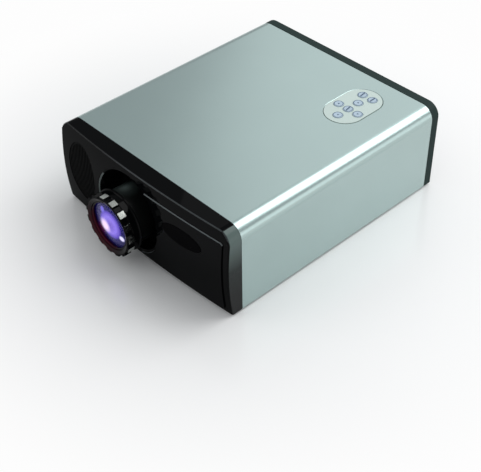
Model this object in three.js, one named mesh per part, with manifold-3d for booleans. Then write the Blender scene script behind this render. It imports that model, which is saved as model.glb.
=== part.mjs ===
// Table-top home projector: silver shell, bowed black front with a lens recess, keypad on the top.
// Millimetres, +Z up. The front looks along -Y, and +X is on the right of somebody who faces it.
// While it is built, y is 0 at the joint of front bezel and shell and z is 0 under the shell.
// At the end the whole group is moved, so that the origin lies under the middle of the object.

import * as THREE from 'three';
import { mergeVertices } from 'three/addons/utils/BufferGeometryUtils.js';
import Module from 'manifold-3d';

const wasm = await Module();
wasm.setup();

// Cabinet
const WIDTH = 240;
const SHELL_DEPTH = 256;
const SHELL_HEIGHT = 95;
const TOP_RADIUS = 14;
const SMALLEST_RADIUS = 3;
const SHEET = 2;
const FOOT_DROP = 2;

// Clearances and cutting
const FIT = 0.3;
const RUNNING_GAP = 0.5;
const OVERRUN = 3;

// Front bezel
const BEZEL_EDGE_DEPTH = 12.5;
const BEZEL_BOW_ACROSS = 5.5;
const BEZEL_BOW_UP = 4;
const BEZEL_WALL = 3;
const BEZEL_POCKET = 7;

// Round recess in the front bezel: its rim keeps a margin to the bezel's top and bottom
const RECESS_FLOOR = 2.2;
const RECESS_RIM_MARGIN = 4.5;
const RECESS_FLOOR_MARGIN = 6;
const RECESS_SLOPE = 7;
const RECESS_BOSS_WALL = 4;

// Lens: the axis lies along Y, off the middle by this share of the half width
const LENS_OFFSET_SHARE = 0.11667;
const LENS_AHEAD = 45.6;
const RING_ROOM = 4.1;
const RING_LENGTH = 16.4;
const RING_WALL = 1.8;
const RING_LIP = 2;
const RING_LIP_COVER = 2;
const GRIP_COUNT = 15;
const GRIP_RISE = 2;
const GRIP_FIRST_ANGLE = 102;
const GRIP_WIDTH_SHARE = 0.62;
const GRIP_SLOPE_SHARE = 0.06;
const BARREL_STEP = 3.6;
const BARREL_WALL = 3.4;
const BARREL_REACH = 20;
const BELL_WALL = 2.4;
const BELL_LENGTH = 12;
const FRONT_GLASS_EDGE = 4.6;
const FRONT_GLASS_RISE = 3;
const REAR_GLASS_EDGE = 4;
const REAR_GLASS_RISE = 2.4;
const REAR_GLASS_PLACE = 8;
const RETAINER_LENGTH = 1.4;
const RETAINER_WALL = 1.2;
const RETAINER_GAP = 0.6;
const COLLAR_WALL = 3.7;
const COLLAR_REACH = 30;
const COLLAR_FLANGE_REACH = 11;
const COLLAR_FLANGE = 3;
const RING_BACK_GAP = 1.2;

// Panel and window beside the lens
const PANEL_EDGE = 7;
const PANEL_BOTTOM = 5;
const PANEL_TOP_GAP = 12.3;
const PANEL_SUNK = 1.2;
const PANEL_THICKNESS = 2;
const PANEL_CORNER = 3;
const PANEL_RIM = 2.5;
const WINDOW_RIM_GAP = 10;
const WINDOW_SIDE_GAP = 24;
const WINDOW_TOP_GAP = 10.7;
const WINDOW_HALF_HEIGHT = 9;
const WINDOW_PROUD = 0.3;
const RECEIVER_WIDTH = 12;
const RECEIVER_HEIGHT = 9;
const RECEIVER_DEPTH = 5;
const RECEIVER_EYE = 3.2;
const RECEIVER_EYE_REACH = 3;

// Speaker behind the oval grille
const GRILLE_SIDE_GAP = 12;
const GRILLE_RIM_GAP = 7;
const GRILLE_TOP_GAP = 11;
const GRILLE_BOTTOM_GAP = 18;
const GRILLE_SUNK = 0.6;
const GRILLE_THICKNESS = 2.4;
const GRILLE_RIM = 1.8;
const SLOT_PITCH = 2.69;
const SLOT_WIDTH = 1.3;
const SPEAKER_ROOM = 5;
const SPEAKER_FLANGE = 1.5;
const SPEAKER_DEPTH = 17;
const SPEAKER_WALL = 1.2;
const SPEAKER_LEDGE = 3.5;
const CONE_THICKNESS = 0.8;
const CONE_DEPTH = 11;
const CAP_SHARE = 0.296;
const CAP_RISE = 3;
const MAGNET_SHARE = 0.593;
const MAGNET_LENGTH = 11;

// Keypad
const KEYPAD_SIDE_MARGIN = 2.75;
const KEYPAD_FRONT_MARGIN = 5.85;
const KEYPAD_BACK_MARGIN = 6.85;
const KEYPAD_INSET = 58;
const KEYPAD_FROM_BACK = 52;
const KEYPAD_PROUD = 0.1;
const KEYPAD_FLANGE = 3;
const KEYPAD_FLANGE_THICKNESS = 1.5;
const KEY_GAP_ACROSS = 0.8;
const KEY_GAP_ALONG = 2.9;
const KEY_PAIR_GAP = 1.2;
const KEY_PAIR_ROOM = 2;
const KEY_RADIUS = 5.1;
const KEY_SKIRT = 0.7;
const KEY_SKIRT_HEIGHT = 0.9;
const KEY_PROUD = 0.6;
const KEY_EDGE = 0.4;
const KEY_STROKE = 0.7;
const MAT_THICKNESS = 1.6;
const MAT_RIM = 1.8;
const BOARD_THICKNESS = 1.6;

// Light engine behind the lens
const TUNNEL_WIDTH = 92;
const TUNNEL_ROOM = 4.8;
const TUNNEL_LENGTH = 126;
const TUNNEL_WALL = 2;
const TUNNEL_WINDOW_LIP = 2;
const RAIL_WIDTH = 6;
const PLATE_THICKNESS = 2.2;
const FRONT_FRESNEL_PLACE = 40;
const CRYSTAL_PLACE = 48;
const REAR_FRESNEL_PLACE = 56;
const CONDENSER_PLACE = 100;
const CONDENSER_EDGE = 5;
const CONDENSER_RISE = 8;
const SOURCE_PLATE = 3;
const SOURCE_RADIUS = 12;
const SOURCE_REACH = 4;
const SINK_BASE = 4;
const SINK_FIN_LENGTH = 30;
const SINK_FIN_COUNT = 11;
const SINK_FIN = 2;

// Fan: it stands over the bottom plate, and its place across shares out the room beside the sockets
const FAN_ROOM_BELOW = 3.8;
const FAN_ROOM_ABOVE = 7;
const FAN_SIDE_SHARE = 0.7;
const FAN_CORNER = 4;
const FAN_DEPTH = 15;
const FAN_WALL = 2.6;
const FAN_HUB = 14;
const FAN_MOTOR_PLATE = 2;
const FAN_STRUT = 4;
const FAN_STRUT_COUNT = 4;
const FAN_BLADE_COUNT = 7;
const FAN_BLADE = 1.2;
const FAN_BLADE_CHORD = 11;
const FAN_BLADE_TIP_GAP = 1.4;
const FAN_BLADE_PITCH = 38;
const FAN_BLADE_ROOT = 2;
const FAN_AXLE = 2;
const FAN_AXLE_LENGTH = 6;
const FAN_ROTOR_LENGTH = 9.5;
const FAN_OUTLET_LIP = 1.4;
const GUARD_WIRE = 1.6;
const GUARD_RING_COUNT = 4;
const GUARD_HUB = 8;
const GUARD_BORDER = 3;

// Rear
const REAR_DEPTH = 10;
const REAR_WALL = 5;
const REAR_LEDGE = 8;
const REAR_LEDGE_THICKNESS = 2;
const REAR_PANEL = 2;
const SCREW_INSET = 10.2;
const SCREW_HEAD = 2.6;
const SCREW_HEAD_HEIGHT = 1.6;
const SCREW_SHANK = 1.2;
const SCREW_LENGTH = 7;

// Mains inlet
const INLET_INSET = 32;
const INLET_Z = 26;
const INLET_WIDTH = 27;
const INLET_HEIGHT = 20;
const INLET_DEPTH = 22;
const INLET_FLANGE = 2.5;
const INLET_FLANGE_THICKNESS = 1.6;
const INLET_WALL = 1.8;
const INLET_CAVITY = 15;
const INLET_CHAMFER = 5;
const INLET_PIN = 4;
const INLET_PIN_THICKNESS = 2;
const INLET_PIN_LENGTH = 9;
const INLET_PIN_PITCH = 7;
const INLET_PIN_LIFT = 2.5;

// Power switch: its place up lies between the inlet and the rear opening's top, lifted by this
const SWITCH_LIFT = 1.75;
const SWITCH_WIDTH = 13;
const SWITCH_HEIGHT = 19;
const SWITCH_DEPTH = 14;
const SWITCH_WALL = 1.6;
const SWITCH_FLANGE = 2;
const SWITCH_FLANGE_THICKNESS = 1.4;
const ROCKER_PIVOT_DEPTH = 4;
const ROCKER_RISE = 1.8;
const ROCKER_TRAVEL = 16;
const ROCKER_BELLY = 3.4;
const ROCKER_PIN = 1.2;
const ROCKER_END_GAP = 0.9;

// Sockets
const COMPUTER_FROM_INLET = 44;
const COMPUTER_Z = 26;
const COMPUTER_EDGE = 0.6;
const COMPUTER_HEIGHT = 12.5;
const COMPUTER_FLANGE = 1;
const COMPUTER_SHELL_WIDTH = 17;
const COMPUTER_SHELL_HEIGHT = 8.4;
const COMPUTER_SHELL_REACH = 5;
const COMPUTER_SHELL_SLANT = 1.4;
const COMPUTER_POST = 2.4;
const COMPUTER_POST_REACH = 4.5;
const COMPUTER_POST_GAP = 1.6;
const COMPUTER_POST_SIDES = 6;
const COMPUTER_BODY = 10;
const PHONO_Z = 58;
const PHONO_PITCH = 18;
const PHONO_COUNT = 3;
const PHONO_COLLAR = 6.2;
const PHONO_COLLAR_THICKNESS = 2;
const PHONO_BARREL = 4.2;
const PHONO_REACH = 8;
const PHONO_BORE = 1.7;
const PHONO_BODY = 9;

// Boards on the bottom plate
const STANDOFF = 3;
const STANDOFF_HEIGHT = 5;
const STANDOFF_INSET = 6;
const MAIN_BOARD_LENGTH = 136;
const MAIN_BOARD_FRONT = 14;
const BOARD_SIDE_GAP = 6;
const CHIP_SIZE = 24;
const CHIP_HEIGHT = 6;
const POWER_BOARD_LENGTH = 140;
const POWER_BOARD_FRONT = 50;
const TRANSFORMER_LENGTH = 42;
const TRANSFORMER_HEIGHT = 34;
const TRANSFORMER_MARGIN = 6;
const TRANSFORMER_INSET = 14;
const CAPACITOR_RADIUS = 11;
const CAPACITOR_HEIGHT = 30;
const CAPACITOR_INSET = 24;

// Vents, feet
const VENT_COUNT = 14;
const VENT_WIDTH = 3;
const VENT_PITCH = 7;
const VENT_TOP_GAP = 29;
const VENT_BOTTOM_GAP = 26;
const VENT_FROM_BACK = 40;
const INTAKE_COUNT = 8;
const INTAKE_LENGTH = 60;
const INTAKE_BACK = 20;
const FOOT_RADIUS = 8;
const FOOT_TAPER = 1;
const FOOT_INSET = 22;

// How finely round things are cut
const ROUND_LARGE = 32;
const ROUND_MEDIUM = 20;
const ROUND_SMALL = 12;
const CORNER_STEPS = 4;
const DOME_STEPS = 3;
const FACE_COLUMNS = 12;
const FACE_ROWS = 6;

const finish = (color, roughness, metalness) => new THREE.MeshStandardMaterial({ color, roughness, metalness });
const silver = finish(0xa3b3ad, 0.38, 0.85);
const glossBlack = finish(0x15181a, 0.12, 0);
const satinBlack = finish(0x202325, 0.45, 0);
const smokedPlastic = finish(0x0b0b0e, 0.05, 0);
const keypadGrey = finish(0xb7c4c3, 0.45, 0.1);
const keyBlue = finish(0xa9c3dc, 0.4, 0);
const glass = finish(0x5a58c8, 0.02, 0);
const clearPlastic = finish(0xd9e2e8, 0.1, 0);
const aluminium = finish(0xc2c5c8, 0.35, 0.9);
const steel = finish(0x9a9da0, 0.35, 0.9);
const zincSheet = finish(0x8f9496, 0.45, 0.8);
const boardGreen = finish(0x1f5c3a, 0.5, 0);
const rubber = finish(0x151515, 0.85, 0);
const paperCone = finish(0x2b2b2b, 0.9, 0);
const copper = finish(0xb36a3c, 0.4, 0.8);
const yellowPlastic = finish(0xe0b92c, 0.4, 0);
const whitePlastic = finish(0xe8e8e6, 0.4, 0);
const redPlastic = finish(0xb5252a, 0.4, 0);

// Sizes and places worked out from the sizes above
const halfWidth = WIDTH / 2;
const backJoint = SHELL_DEPTH;
const rimRadius = SHELL_HEIGHT / 2 - RECESS_RIM_MARGIN;
const rimAhead = BEZEL_EDGE_DEPTH + BEZEL_BOW_ACROSS + BEZEL_BOW_UP;
const floorRadius = rimRadius - RECESS_SLOPE;
const lensX = -LENS_OFFSET_SHARE * halfWidth;
const lensZ = RECESS_FLOOR_MARGIN + floorRadius;
const rimLift = SHELL_HEIGHT / 2 - lensZ;
const ringRadius = floorRadius - RING_ROOM;
const bellRadius = ringRadius - GRIP_RISE - RING_WALL - RUNNING_GAP;
const lipBore = bellRadius - RING_LIP_COVER;
const barrelRadius = bellRadius - BARREL_STEP;
const collarRadius = barrelRadius + FIT + COLLAR_WALL;
const lensFront = -LENS_AHEAD;
const ringBack = lensFront + RING_LENGTH;
const bellBack = ringBack - RING_LIP + FIT - RUNNING_GAP;
const bellFront = bellBack - BELL_LENGTH;
const collarFront = ringBack + RING_BACK_GAP;
const collarBack = COLLAR_REACH;
const tunnelFront = collarBack + FIT;
const tunnelBack = tunnelFront + TUNNEL_LENGTH;
const tunnelBottom = PLATE_THICKNESS + TUNNEL_ROOM;
const tunnelHeight = 2 * (lensZ - tunnelBottom);
const tunnelLeft = lensX - TUNNEL_WIDTH / 2;
const tunnelRight = lensX + TUNNEL_WIDTH / 2;
const panelTop = SHELL_HEIGHT - PANEL_TOP_GAP;
const windowLeft = lensX + rimRadius + WINDOW_RIM_GAP;
const windowRight = halfWidth - PANEL_EDGE - WINDOW_SIDE_GAP;
const windowX = (windowLeft + windowRight) / 2;
const windowZ = panelTop - WINDOW_TOP_GAP - WINDOW_HALF_HEIGHT;
const windowHalfWidth = (windowRight - windowLeft) / 2;
const grilleLeft = GRILLE_SIDE_GAP - halfWidth;
const grilleRight = lensX - rimRadius - GRILLE_RIM_GAP;
const grilleX = (grilleLeft + grilleRight) / 2;
const grilleHalfWidth = (grilleRight - grilleLeft) / 2;
const grilleHalfHeight = (SHELL_HEIGHT - GRILLE_TOP_GAP - GRILLE_BOTTOM_GAP) / 2;
const grilleZ = GRILLE_BOTTOM_GAP + grilleHalfHeight;
const speakerRadius = grilleX + halfWidth - SHEET - SPEAKER_ROOM;
const capRadius = CAP_SHARE * speakerRadius;
const magnetRadius = MAGNET_SHARE * speakerRadius;
const keyRoom = 2 * (KEY_RADIUS + KEY_SKIRT);
const keyPitchAcross = keyRoom + KEY_GAP_ACROSS;
const keyPitchAlong = keyRoom + KEY_GAP_ALONG;
const keyPairPitch = keyRoom + KEY_PAIR_GAP;
const keyPairOffset = keyPitchAlong + keyRoom + KEY_PAIR_ROOM;
const keypadWidth = 2 * (keyPitchAcross + KEY_RADIUS + KEYPAD_SIDE_MARGIN);
const keypadFrontReach = keyPitchAlong + KEY_RADIUS + KEYPAD_FRONT_MARGIN;
const keypadLength = keypadFrontReach + keyPairOffset + KEY_RADIUS + KEYPAD_BACK_MARGIN;
const keypadX = halfWidth - KEYPAD_INSET;
const keypadY = backJoint - KEYPAD_FROM_BACK;
const crossY = keypadY - keypadLength / 2 + keypadFrontReach;
const keypadTop = SHELL_HEIGHT + KEYPAD_PROUD;
const flangeTop = SHELL_HEIGHT - SHEET - FIT;
const flangeBottom = flangeTop - KEYPAD_FLANGE_THICKNESS;
const skirtTop = flangeBottom - FIT;
const skirtBottom = skirtTop - KEY_SKIRT_HEIGHT;
const matTop = skirtBottom - KEY_STROKE - FIT;
const matBottom = matTop - MAT_THICKNESS;
const rearPanelFront = backJoint + REAR_LEDGE_THICKNESS + FIT;
const rearPanelBack = rearPanelFront + REAR_PANEL;
const fanBack = rearPanelFront - FIT;
const fanFront = fanBack - FAN_DEPTH;
const inletX = halfWidth - INLET_INSET;
const inletTop = INLET_Z + INLET_HEIGHT / 2 + INLET_FLANGE;
const switchZ = (inletTop + SHELL_HEIGHT - REAR_WALL - REAR_LEDGE) / 2 + SWITCH_LIFT;
const computerX = inletX - COMPUTER_FROM_INLET;
const phonoX = computerX - PHONO_PITCH;
const postPitch = COMPUTER_SHELL_WIDTH + 2 * (COMPUTER_POST + COMPUTER_POST_GAP);
const computerWidth = postPitch + 2 * (COMPUTER_POST + COMPUTER_EDGE);
const fanBottom = PLATE_THICKNESS + FAN_ROOM_BELOW;
const fanSize = SHELL_HEIGHT - SHEET - FAN_ROOM_ABOVE - fanBottom;
const fanBore = fanSize / 2 - FAN_WALL;
const fanOutlet = fanBore - FAN_OUTLET_LIP;
const fanFreeRoom = phonoX - PHONO_COLLAR + halfWidth - fanSize;
const fanX = FAN_SIDE_SHARE * fanFreeRoom + fanSize / 2 - halfWidth;
const fanZ = fanBottom + fanSize / 2;
const boardBottom = PLATE_THICKNESS + STANDOFF_HEIGHT + FIT;
const mainBoardX = tunnelRight + BOARD_SIDE_GAP;
const mainBoardWidth = halfWidth - SHEET - BOARD_SIDE_GAP - mainBoardX;
const powerBoardX = SHEET + BOARD_SIDE_GAP - halfWidth;
const powerBoardWidth = tunnelLeft - BOARD_SIDE_GAP - powerBoardX;
const transformerWidth = powerBoardWidth - 2 * TRANSFORMER_MARGIN;

// Geometry helpers

// Joins the shared corners of a closed mesh and drops the triangles that shrink to a line.
function weld(geometry) {
  const bare = geometry.clone();
  bare.deleteAttribute('normal');
  bare.deleteAttribute('uv');
  const merged = mergeVertices(bare);
  const corners = merged.index.array;
  const kept = [];
  for (let i = 0; i < corners.length; i += 3) {
    const [a, b, c] = corners.slice(i, i + 3);
    if (a !== b && b !== c && c !== a) kept.push(a, b, c);
  }
  merged.setIndex(kept);
  return merged;
}

function toSolid(geometry) {
  const welded = weld(geometry);
  const vertProperties = new Float32Array(welded.attributes.position.array);
  const triVerts = new Uint32Array(welded.index.array);
  return new wasm.Manifold(new wasm.Mesh({ numProp: 3, vertProperties, triVerts }));
}

function toGeometry(solid) {
  const mesh = solid.getMesh();
  const geometry = new THREE.BufferGeometry();
  geometry.setAttribute('position', new THREE.BufferAttribute(new Float32Array(mesh.vertProperties), 3));
  geometry.setIndex(new THREE.BufferAttribute(new Uint32Array(mesh.triVerts), 1));
  return geometry;
}

function join(first, ...others) {
  return toGeometry(others.reduce((solid, other) => solid.add(toSolid(other)), toSolid(first)));
}

function cut(first, ...others) {
  return toGeometry(others.reduce((solid, other) => solid.subtract(toSolid(other)), toSolid(first)));
}

function overlap(first, second) {
  return toGeometry(toSolid(first).intersect(toSolid(second)));
}

function block(x0, x1, y0, y1, z0, z1) {
  const geometry = new THREE.BoxGeometry(x1 - x0, y1 - y0, z1 - z0);
  return geometry.translate((x0 + x1) / 2, (y0 + y1) / 2, (z0 + z1) / 2);
}

// A flat shape in X and Z, extruded along Y.
function alongY(shape, from, to, steps = CORNER_STEPS) {
  const options = { depth: to - from, bevelEnabled: false, curveSegments: steps };
  return new THREE.ExtrudeGeometry(shape, options).rotateX(Math.PI / 2).translate(0, to, 0);
}

// A flat shape in X and Y, extruded along Z.
function alongZ(shape, from, to, steps = CORNER_STEPS) {
  const options = { depth: to - from, bevelEnabled: false, curveSegments: steps };
  return new THREE.ExtrudeGeometry(shape, options).translate(0, 0, from);
}

// Radius and height pairs, turned round the Y axis. A profile ends on the axis, or closes on itself.
function lathe(profile, steps) {
  const points = profile.map(([radius, height]) => new THREE.Vector2(radius, height));
  if (THREE.ShapeUtils.area(points) < 0) points.reverse();
  if (points[0].x > 0) points.push(points[0].clone());
  return weld(new THREE.LatheGeometry(points, steps));
}

const turnedAlongY = (profile, steps, x, z) => lathe(profile, steps).translate(x, 0, z);
const turnedAlongZ = (profile, steps, x, y) => lathe(profile, steps).rotateX(Math.PI / 2).translate(x, y, 0);
const rodAlongY = (radius, from, to, steps, x, z) =>
  turnedAlongY([[0, from], [radius, from], [radius, to], [0, to]], steps, x, z);
const rodAlongZ = (radius, from, to, steps, x, y) =>
  turnedAlongZ([[0, from], [radius, from], [radius, to], [0, to]], steps, x, y);
const rodAlongX = (radius, from, to, steps, y, z) =>
  lathe([[0, from], [radius, from], [radius, to], [0, to]], steps).rotateZ(-Math.PI / 2).translate(0, y, z);

// Points of an arc of a profile that is turned: a crown that rises from the edge to the axis.
function crown(radius, edge, rise, steps) {
  const points = [];
  for (let i = 0; i <= steps; i += 1) {
    const r = radius * (1 - i / steps);
    points.push([r, edge + rise * (1 - (r / radius) ** 2)]);
  }
  return points;
}

// The cabinet's cross-section: sharp at the bottom, round at the top.
function archShape(inset, bottom) {
  const half = halfWidth - inset;
  const top = SHELL_HEIGHT - inset;
  const radius = Math.max(TOP_RADIUS - inset, SMALLEST_RADIUS);
  const shape = new THREE.Shape();
  shape.moveTo(-half, bottom);
  shape.lineTo(half, bottom);
  shape.absarc(half - radius, top - radius, radius, 0, Math.PI / 2);
  shape.absarc(radius - half, top - radius, radius, Math.PI / 2, Math.PI);
  shape.closePath();
  return shape;
}

function roundedRectangle(width, height, radius, x, z) {
  const half = width / 2;
  const rise = height / 2;
  const shape = new THREE.Shape();
  shape.moveTo(x - half + radius, z - rise);
  shape.absarc(x + half - radius, z - rise + radius, radius, -Math.PI / 2, 0);
  shape.absarc(x + half - radius, z + rise - radius, radius, 0, Math.PI / 2);
  shape.absarc(x - half + radius, z + rise - radius, radius, Math.PI / 2, Math.PI);
  shape.absarc(x - half + radius, z - rise + radius, radius, Math.PI, Math.PI * 1.5);
  return shape;
}

// Two straight long sides along Y and half-round ends.
function obround(width, length, x, y) {
  const radius = width / 2;
  const straight = length / 2 - radius;
  const shape = new THREE.Shape();
  shape.absarc(x, y + straight, radius, 0, Math.PI);
  shape.absarc(x, y - straight, radius, Math.PI, Math.PI * 2);
  shape.closePath();
  return shape;
}

function ellipse(halfX, halfZ, x, z) {
  const shape = new THREE.Shape();
  shape.absellipse(x, z, halfX, halfZ, 0, Math.PI * 2);
  return shape;
}

// The bowed face of the bezel: how far it stands ahead of the joint at each place.
function faceAhead(x, z) {
  const across = x / halfWidth;
  const up = (2 * z) / SHELL_HEIGHT - 1;
  return BEZEL_EDGE_DEPTH + BEZEL_BOW_ACROSS * (1 - across ** 2) + BEZEL_BOW_UP * (1 - up ** 2);
}

// A slab whose front follows the bowed face at one depth below it, and its back at another, or flat at y = 0.
function bowedSlab(sunk, backSunk) {
  const wide = WIDTH + 2 * OVERRUN;
  const high = SHELL_HEIGHT + 2 * OVERRUN;
  const geometry = new THREE.BoxGeometry(wide, OVERRUN, high, FACE_COLUMNS, 1, FACE_ROWS);
  geometry.translate(0, 0, SHELL_HEIGHT / 2);
  const place = geometry.attributes.position;
  for (let i = 0; i < place.count; i += 1) {
    const ahead = faceAhead(place.getX(i), place.getZ(i));
    const back = backSunk === undefined ? 0 : backSunk - ahead;
    place.setY(i, place.getY(i) < 0 ? sunk - ahead : back);
  }
  return geometry;
}

// The round recess: a funnel that widens and rises from its floor to its rim, and on past the face.
function recessFunnel(grow) {
  const depth = rimAhead - RECESS_FLOOR;
  const length = depth + LENS_AHEAD - rimAhead;
  const widening = (length / depth) * RECESS_SLOPE;
  const lift = (length / depth) * rimLift;
  const geometry = new THREE.CylinderGeometry(
    floorRadius + grow,
    floorRadius + widening + grow,
    length,
    ROUND_LARGE,
  );
  geometry.translate(lensX, -RECESS_FLOOR - length / 2, lensZ);
  const place = geometry.attributes.position;
  for (let i = 0; i < place.count; i += 1) {
    if (place.getY(i) < -RECESS_FLOOR - depth) place.setZ(i, place.getZ(i) + lift);
  }
  return geometry;
}

// The group of the whole object, and the way a piece joins it

const projector = new THREE.Group();

function add(name, geometry, material) {
  const mesh = new THREE.Mesh(geometry, material);
  mesh.name = name;
  projector.add(mesh);
}

// Pieces of the case

function topShell() {
  const outside = alongY(archShape(0, 0), FIT, backJoint - FIT);
  const inside = alongY(archShape(SHEET, -OVERRUN), -OVERRUN, backJoint + OVERRUN);
  const width = keypadWidth + 2 * FIT;
  const length = keypadLength + 2 * FIT;
  const keypadHole = alongZ(
    obround(width, length, keypadX, keypadY),
    SHELL_HEIGHT - SHEET - OVERRUN,
    SHELL_HEIGHT + OVERRUN,
    ROUND_SMALL / 2,
  );
  const vents = [];
  for (let i = 0; i < VENT_COUNT; i += 1) {
    const y = backJoint - VENT_FROM_BACK - i * VENT_PITCH;
    const top = SHELL_HEIGHT - VENT_TOP_GAP;
    const left = -halfWidth - OVERRUN;
    vents.push(block(left, SHEET + OVERRUN - halfWidth, y - VENT_WIDTH, y, VENT_BOTTOM_GAP, top));
  }
  return cut(outside, inside, keypadHole, ...vents);
}

// The upright places of the standoffs under a board, given its corner and size.
function standoffPlaces(x0, y0, width, length) {
  const xs = [x0 + STANDOFF_INSET, x0 + width - STANDOFF_INSET];
  const ys = [y0 + STANDOFF_INSET, y0 + length - STANDOFF_INSET];
  return xs.flatMap((x) => ys.map((y) => [x, y]));
}

function bottomPlate() {
  const half = halfWidth - SHEET - FIT;
  const plate = block(-half, half, FIT, backJoint - FIT, 0, PLATE_THICKNESS);
  const foot = PLATE_THICKNESS / 2;
  const posts = [
    ...standoffPlaces(mainBoardX, MAIN_BOARD_FRONT, mainBoardWidth, MAIN_BOARD_LENGTH),
    ...standoffPlaces(powerBoardX, POWER_BOARD_FRONT, powerBoardWidth, POWER_BOARD_LENGTH),
  ].map(([x, y]) => rodAlongZ(STANDOFF, foot, PLATE_THICKNESS + STANDOFF_HEIGHT, ROUND_SMALL, x, y));
  const rails = [-1, 1].map((side) => {
    const x = lensX + side * (TUNNEL_WIDTH / 2 - RAIL_WIDTH);
    const rail = RAIL_WIDTH / 2;
    return block(x - rail, x + rail, tunnelFront, tunnelBack, foot, tunnelBottom - FIT);
  });
  const slots = [];
  const spacing = 2 * VENT_WIDTH;
  for (let i = 0; i < INTAKE_COUNT; i += 1) {
    const y = backJoint - INTAKE_BACK - i * spacing;
    const x = lensX - INTAKE_LENGTH / 2;
    slots.push(block(x, x + INTAKE_LENGTH, y - VENT_WIDTH, y, -OVERRUN, PLATE_THICKNESS + OVERRUN));
  }
  return cut(join(plate, ...posts, ...rails), ...slots);
}

// The outline of the panel: straight on three sides and hollowed round the recess on the fourth.
function panelBlank(grow, from, to) {
  const left = lensX - grow;
  const right = halfWidth - PANEL_EDGE + grow;
  const width = right - left;
  const height = panelTop - PANEL_BOTTOM + 2 * grow;
  const middle = (panelTop + PANEL_BOTTOM) / 2;
  const outline = roundedRectangle(width, height, PANEL_CORNER + grow, (left + right) / 2, middle);
  return cut(alongY(outline, from, to), recessFunnel(PANEL_RIM - grow));
}

const windowOutline = (grow) =>
  ellipse(windowHalfWidth + grow, WINDOW_HALF_HEIGHT + grow, windowX, windowZ);
const grilleOutline = (grow) =>
  ellipse(grilleHalfWidth + grow, grilleHalfHeight + grow, grilleX, grilleZ);

function frontBezel() {
  const body = overlap(bowedSlab(0), alongY(archShape(0, 0), -LENS_AHEAD, OVERRUN));
  const pocket = alongY(archShape(BEZEL_WALL, BEZEL_WALL), -BEZEL_POCKET, OVERRUN);
  const bossRadius = floorRadius + RECESS_BOSS_WALL;
  const boss = rodAlongY(bossRadius, -BEZEL_POCKET - RECESS_FLOOR, 0, ROUND_LARGE, lensX, lensZ);
  const collarHole = rodAlongY(collarRadius + FIT, -LENS_AHEAD, OVERRUN, ROUND_LARGE, lensX, lensZ);
  const panelPocket = overlap(
    bowedSlab(-OVERRUN, PANEL_SUNK + PANEL_THICKNESS + FIT),
    panelBlank(FIT, -LENS_AHEAD, OVERRUN),
  );
  const grilleHole = alongY(grilleOutline(FIT), -LENS_AHEAD, OVERRUN, ROUND_MEDIUM / 2);
  const eyeHole = rodAlongY(RECEIVER_EYE + FIT, -LENS_AHEAD, OVERRUN, ROUND_SMALL, windowX, windowZ);
  return cut(join(cut(body, pocket), boss), recessFunnel(0), collarHole, panelPocket, grilleHole, eyeHole);
}

function frontPanel() {
  const layer = bowedSlab(PANEL_SUNK, PANEL_SUNK + PANEL_THICKNESS);
  const sheet = overlap(layer, panelBlank(0, -LENS_AHEAD, OVERRUN));
  return cut(sheet, alongY(windowOutline(FIT), -LENS_AHEAD, OVERRUN, ROUND_MEDIUM / 2));
}

function infraredWindow() {
  const layer = bowedSlab(PANEL_SUNK - WINDOW_PROUD, PANEL_SUNK + PANEL_THICKNESS);
  return overlap(layer, alongY(windowOutline(0), -LENS_AHEAD, OVERRUN, ROUND_MEDIUM / 2));
}

function infraredReceiver() {
  const back = RECEIVER_DEPTH + FIT - BEZEL_POCKET;
  const front = FIT - BEZEL_POCKET;
  const half = RECEIVER_WIDTH / 2;
  const rise = RECEIVER_HEIGHT / 2;
  const body = block(windowX - half, windowX + half, front, back, windowZ - rise, windowZ + rise);
  const middle = (front + back) / 2;
  const eye = rodAlongY(RECEIVER_EYE, front - RECEIVER_EYE_REACH, middle, ROUND_SMALL, windowX, windowZ);
  return join(body, eye);
}

// Speaker

function speakerGrille() {
  const layer = bowedSlab(GRILLE_SUNK, GRILLE_SUNK + GRILLE_THICKNESS);
  const sheet = overlap(layer, alongY(grilleOutline(0), -LENS_AHEAD, OVERRUN, ROUND_MEDIUM / 2));
  const field = alongY(grilleOutline(-GRILLE_RIM), -LENS_AHEAD, OVERRUN, ROUND_MEDIUM / 2);
  const count = Math.floor((2 * (grilleHalfWidth - GRILLE_RIM)) / SLOT_PITCH);
  const slots = [];
  for (let i = 0; i < count; i += 1) {
    const x = grilleX + (i - (count - 1) / 2) * SLOT_PITCH;
    const rise = grilleHalfHeight;
    const half = SLOT_WIDTH / 2;
    slots.push(block(x - half, x + half, -LENS_AHEAD, 0, grilleZ - rise, grilleZ + rise));
  }
  return cut(sheet, overlap(field, join(...slots)));
}

const speakerFront = FIT - BEZEL_POCKET;
const speakerBack = speakerFront + SPEAKER_DEPTH;
const basketThroat = magnetRadius - SPEAKER_LEDGE;

function speakerBasket() {
  const flangeBack = speakerFront + SPEAKER_FLANGE;
  const mouth = speakerRadius - SPEAKER_LEDGE;
  return turnedAlongY([
    [mouth, speakerFront],
    [speakerRadius, speakerFront],
    [speakerRadius, flangeBack],
    [mouth + SPEAKER_WALL, flangeBack],
    [magnetRadius, speakerBack],
    [basketThroat, speakerBack],
    [basketThroat, speakerBack - SPEAKER_WALL],
    [magnetRadius - SPEAKER_WALL, speakerBack - SPEAKER_WALL],
    [mouth, flangeBack],
  ], ROUND_MEDIUM, grilleX, grilleZ);
}

function speakerCone() {
  const mouth = speakerRadius - SPEAKER_LEDGE - FIT;
  const front = speakerFront + FIT;
  const throat = front + CONE_DEPTH;
  const cap = crown(capRadius, -throat, CAP_RISE, DOME_STEPS).map(([r, h]) => [r, -h]);
  const capBack = throat + CONE_THICKNESS;
  const back = [[0, capBack], [capRadius, capBack], [mouth, front + CONE_THICKNESS]];
  return turnedAlongY([...back, [mouth, front], ...cap], ROUND_MEDIUM, grilleX, grilleZ);
}

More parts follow.
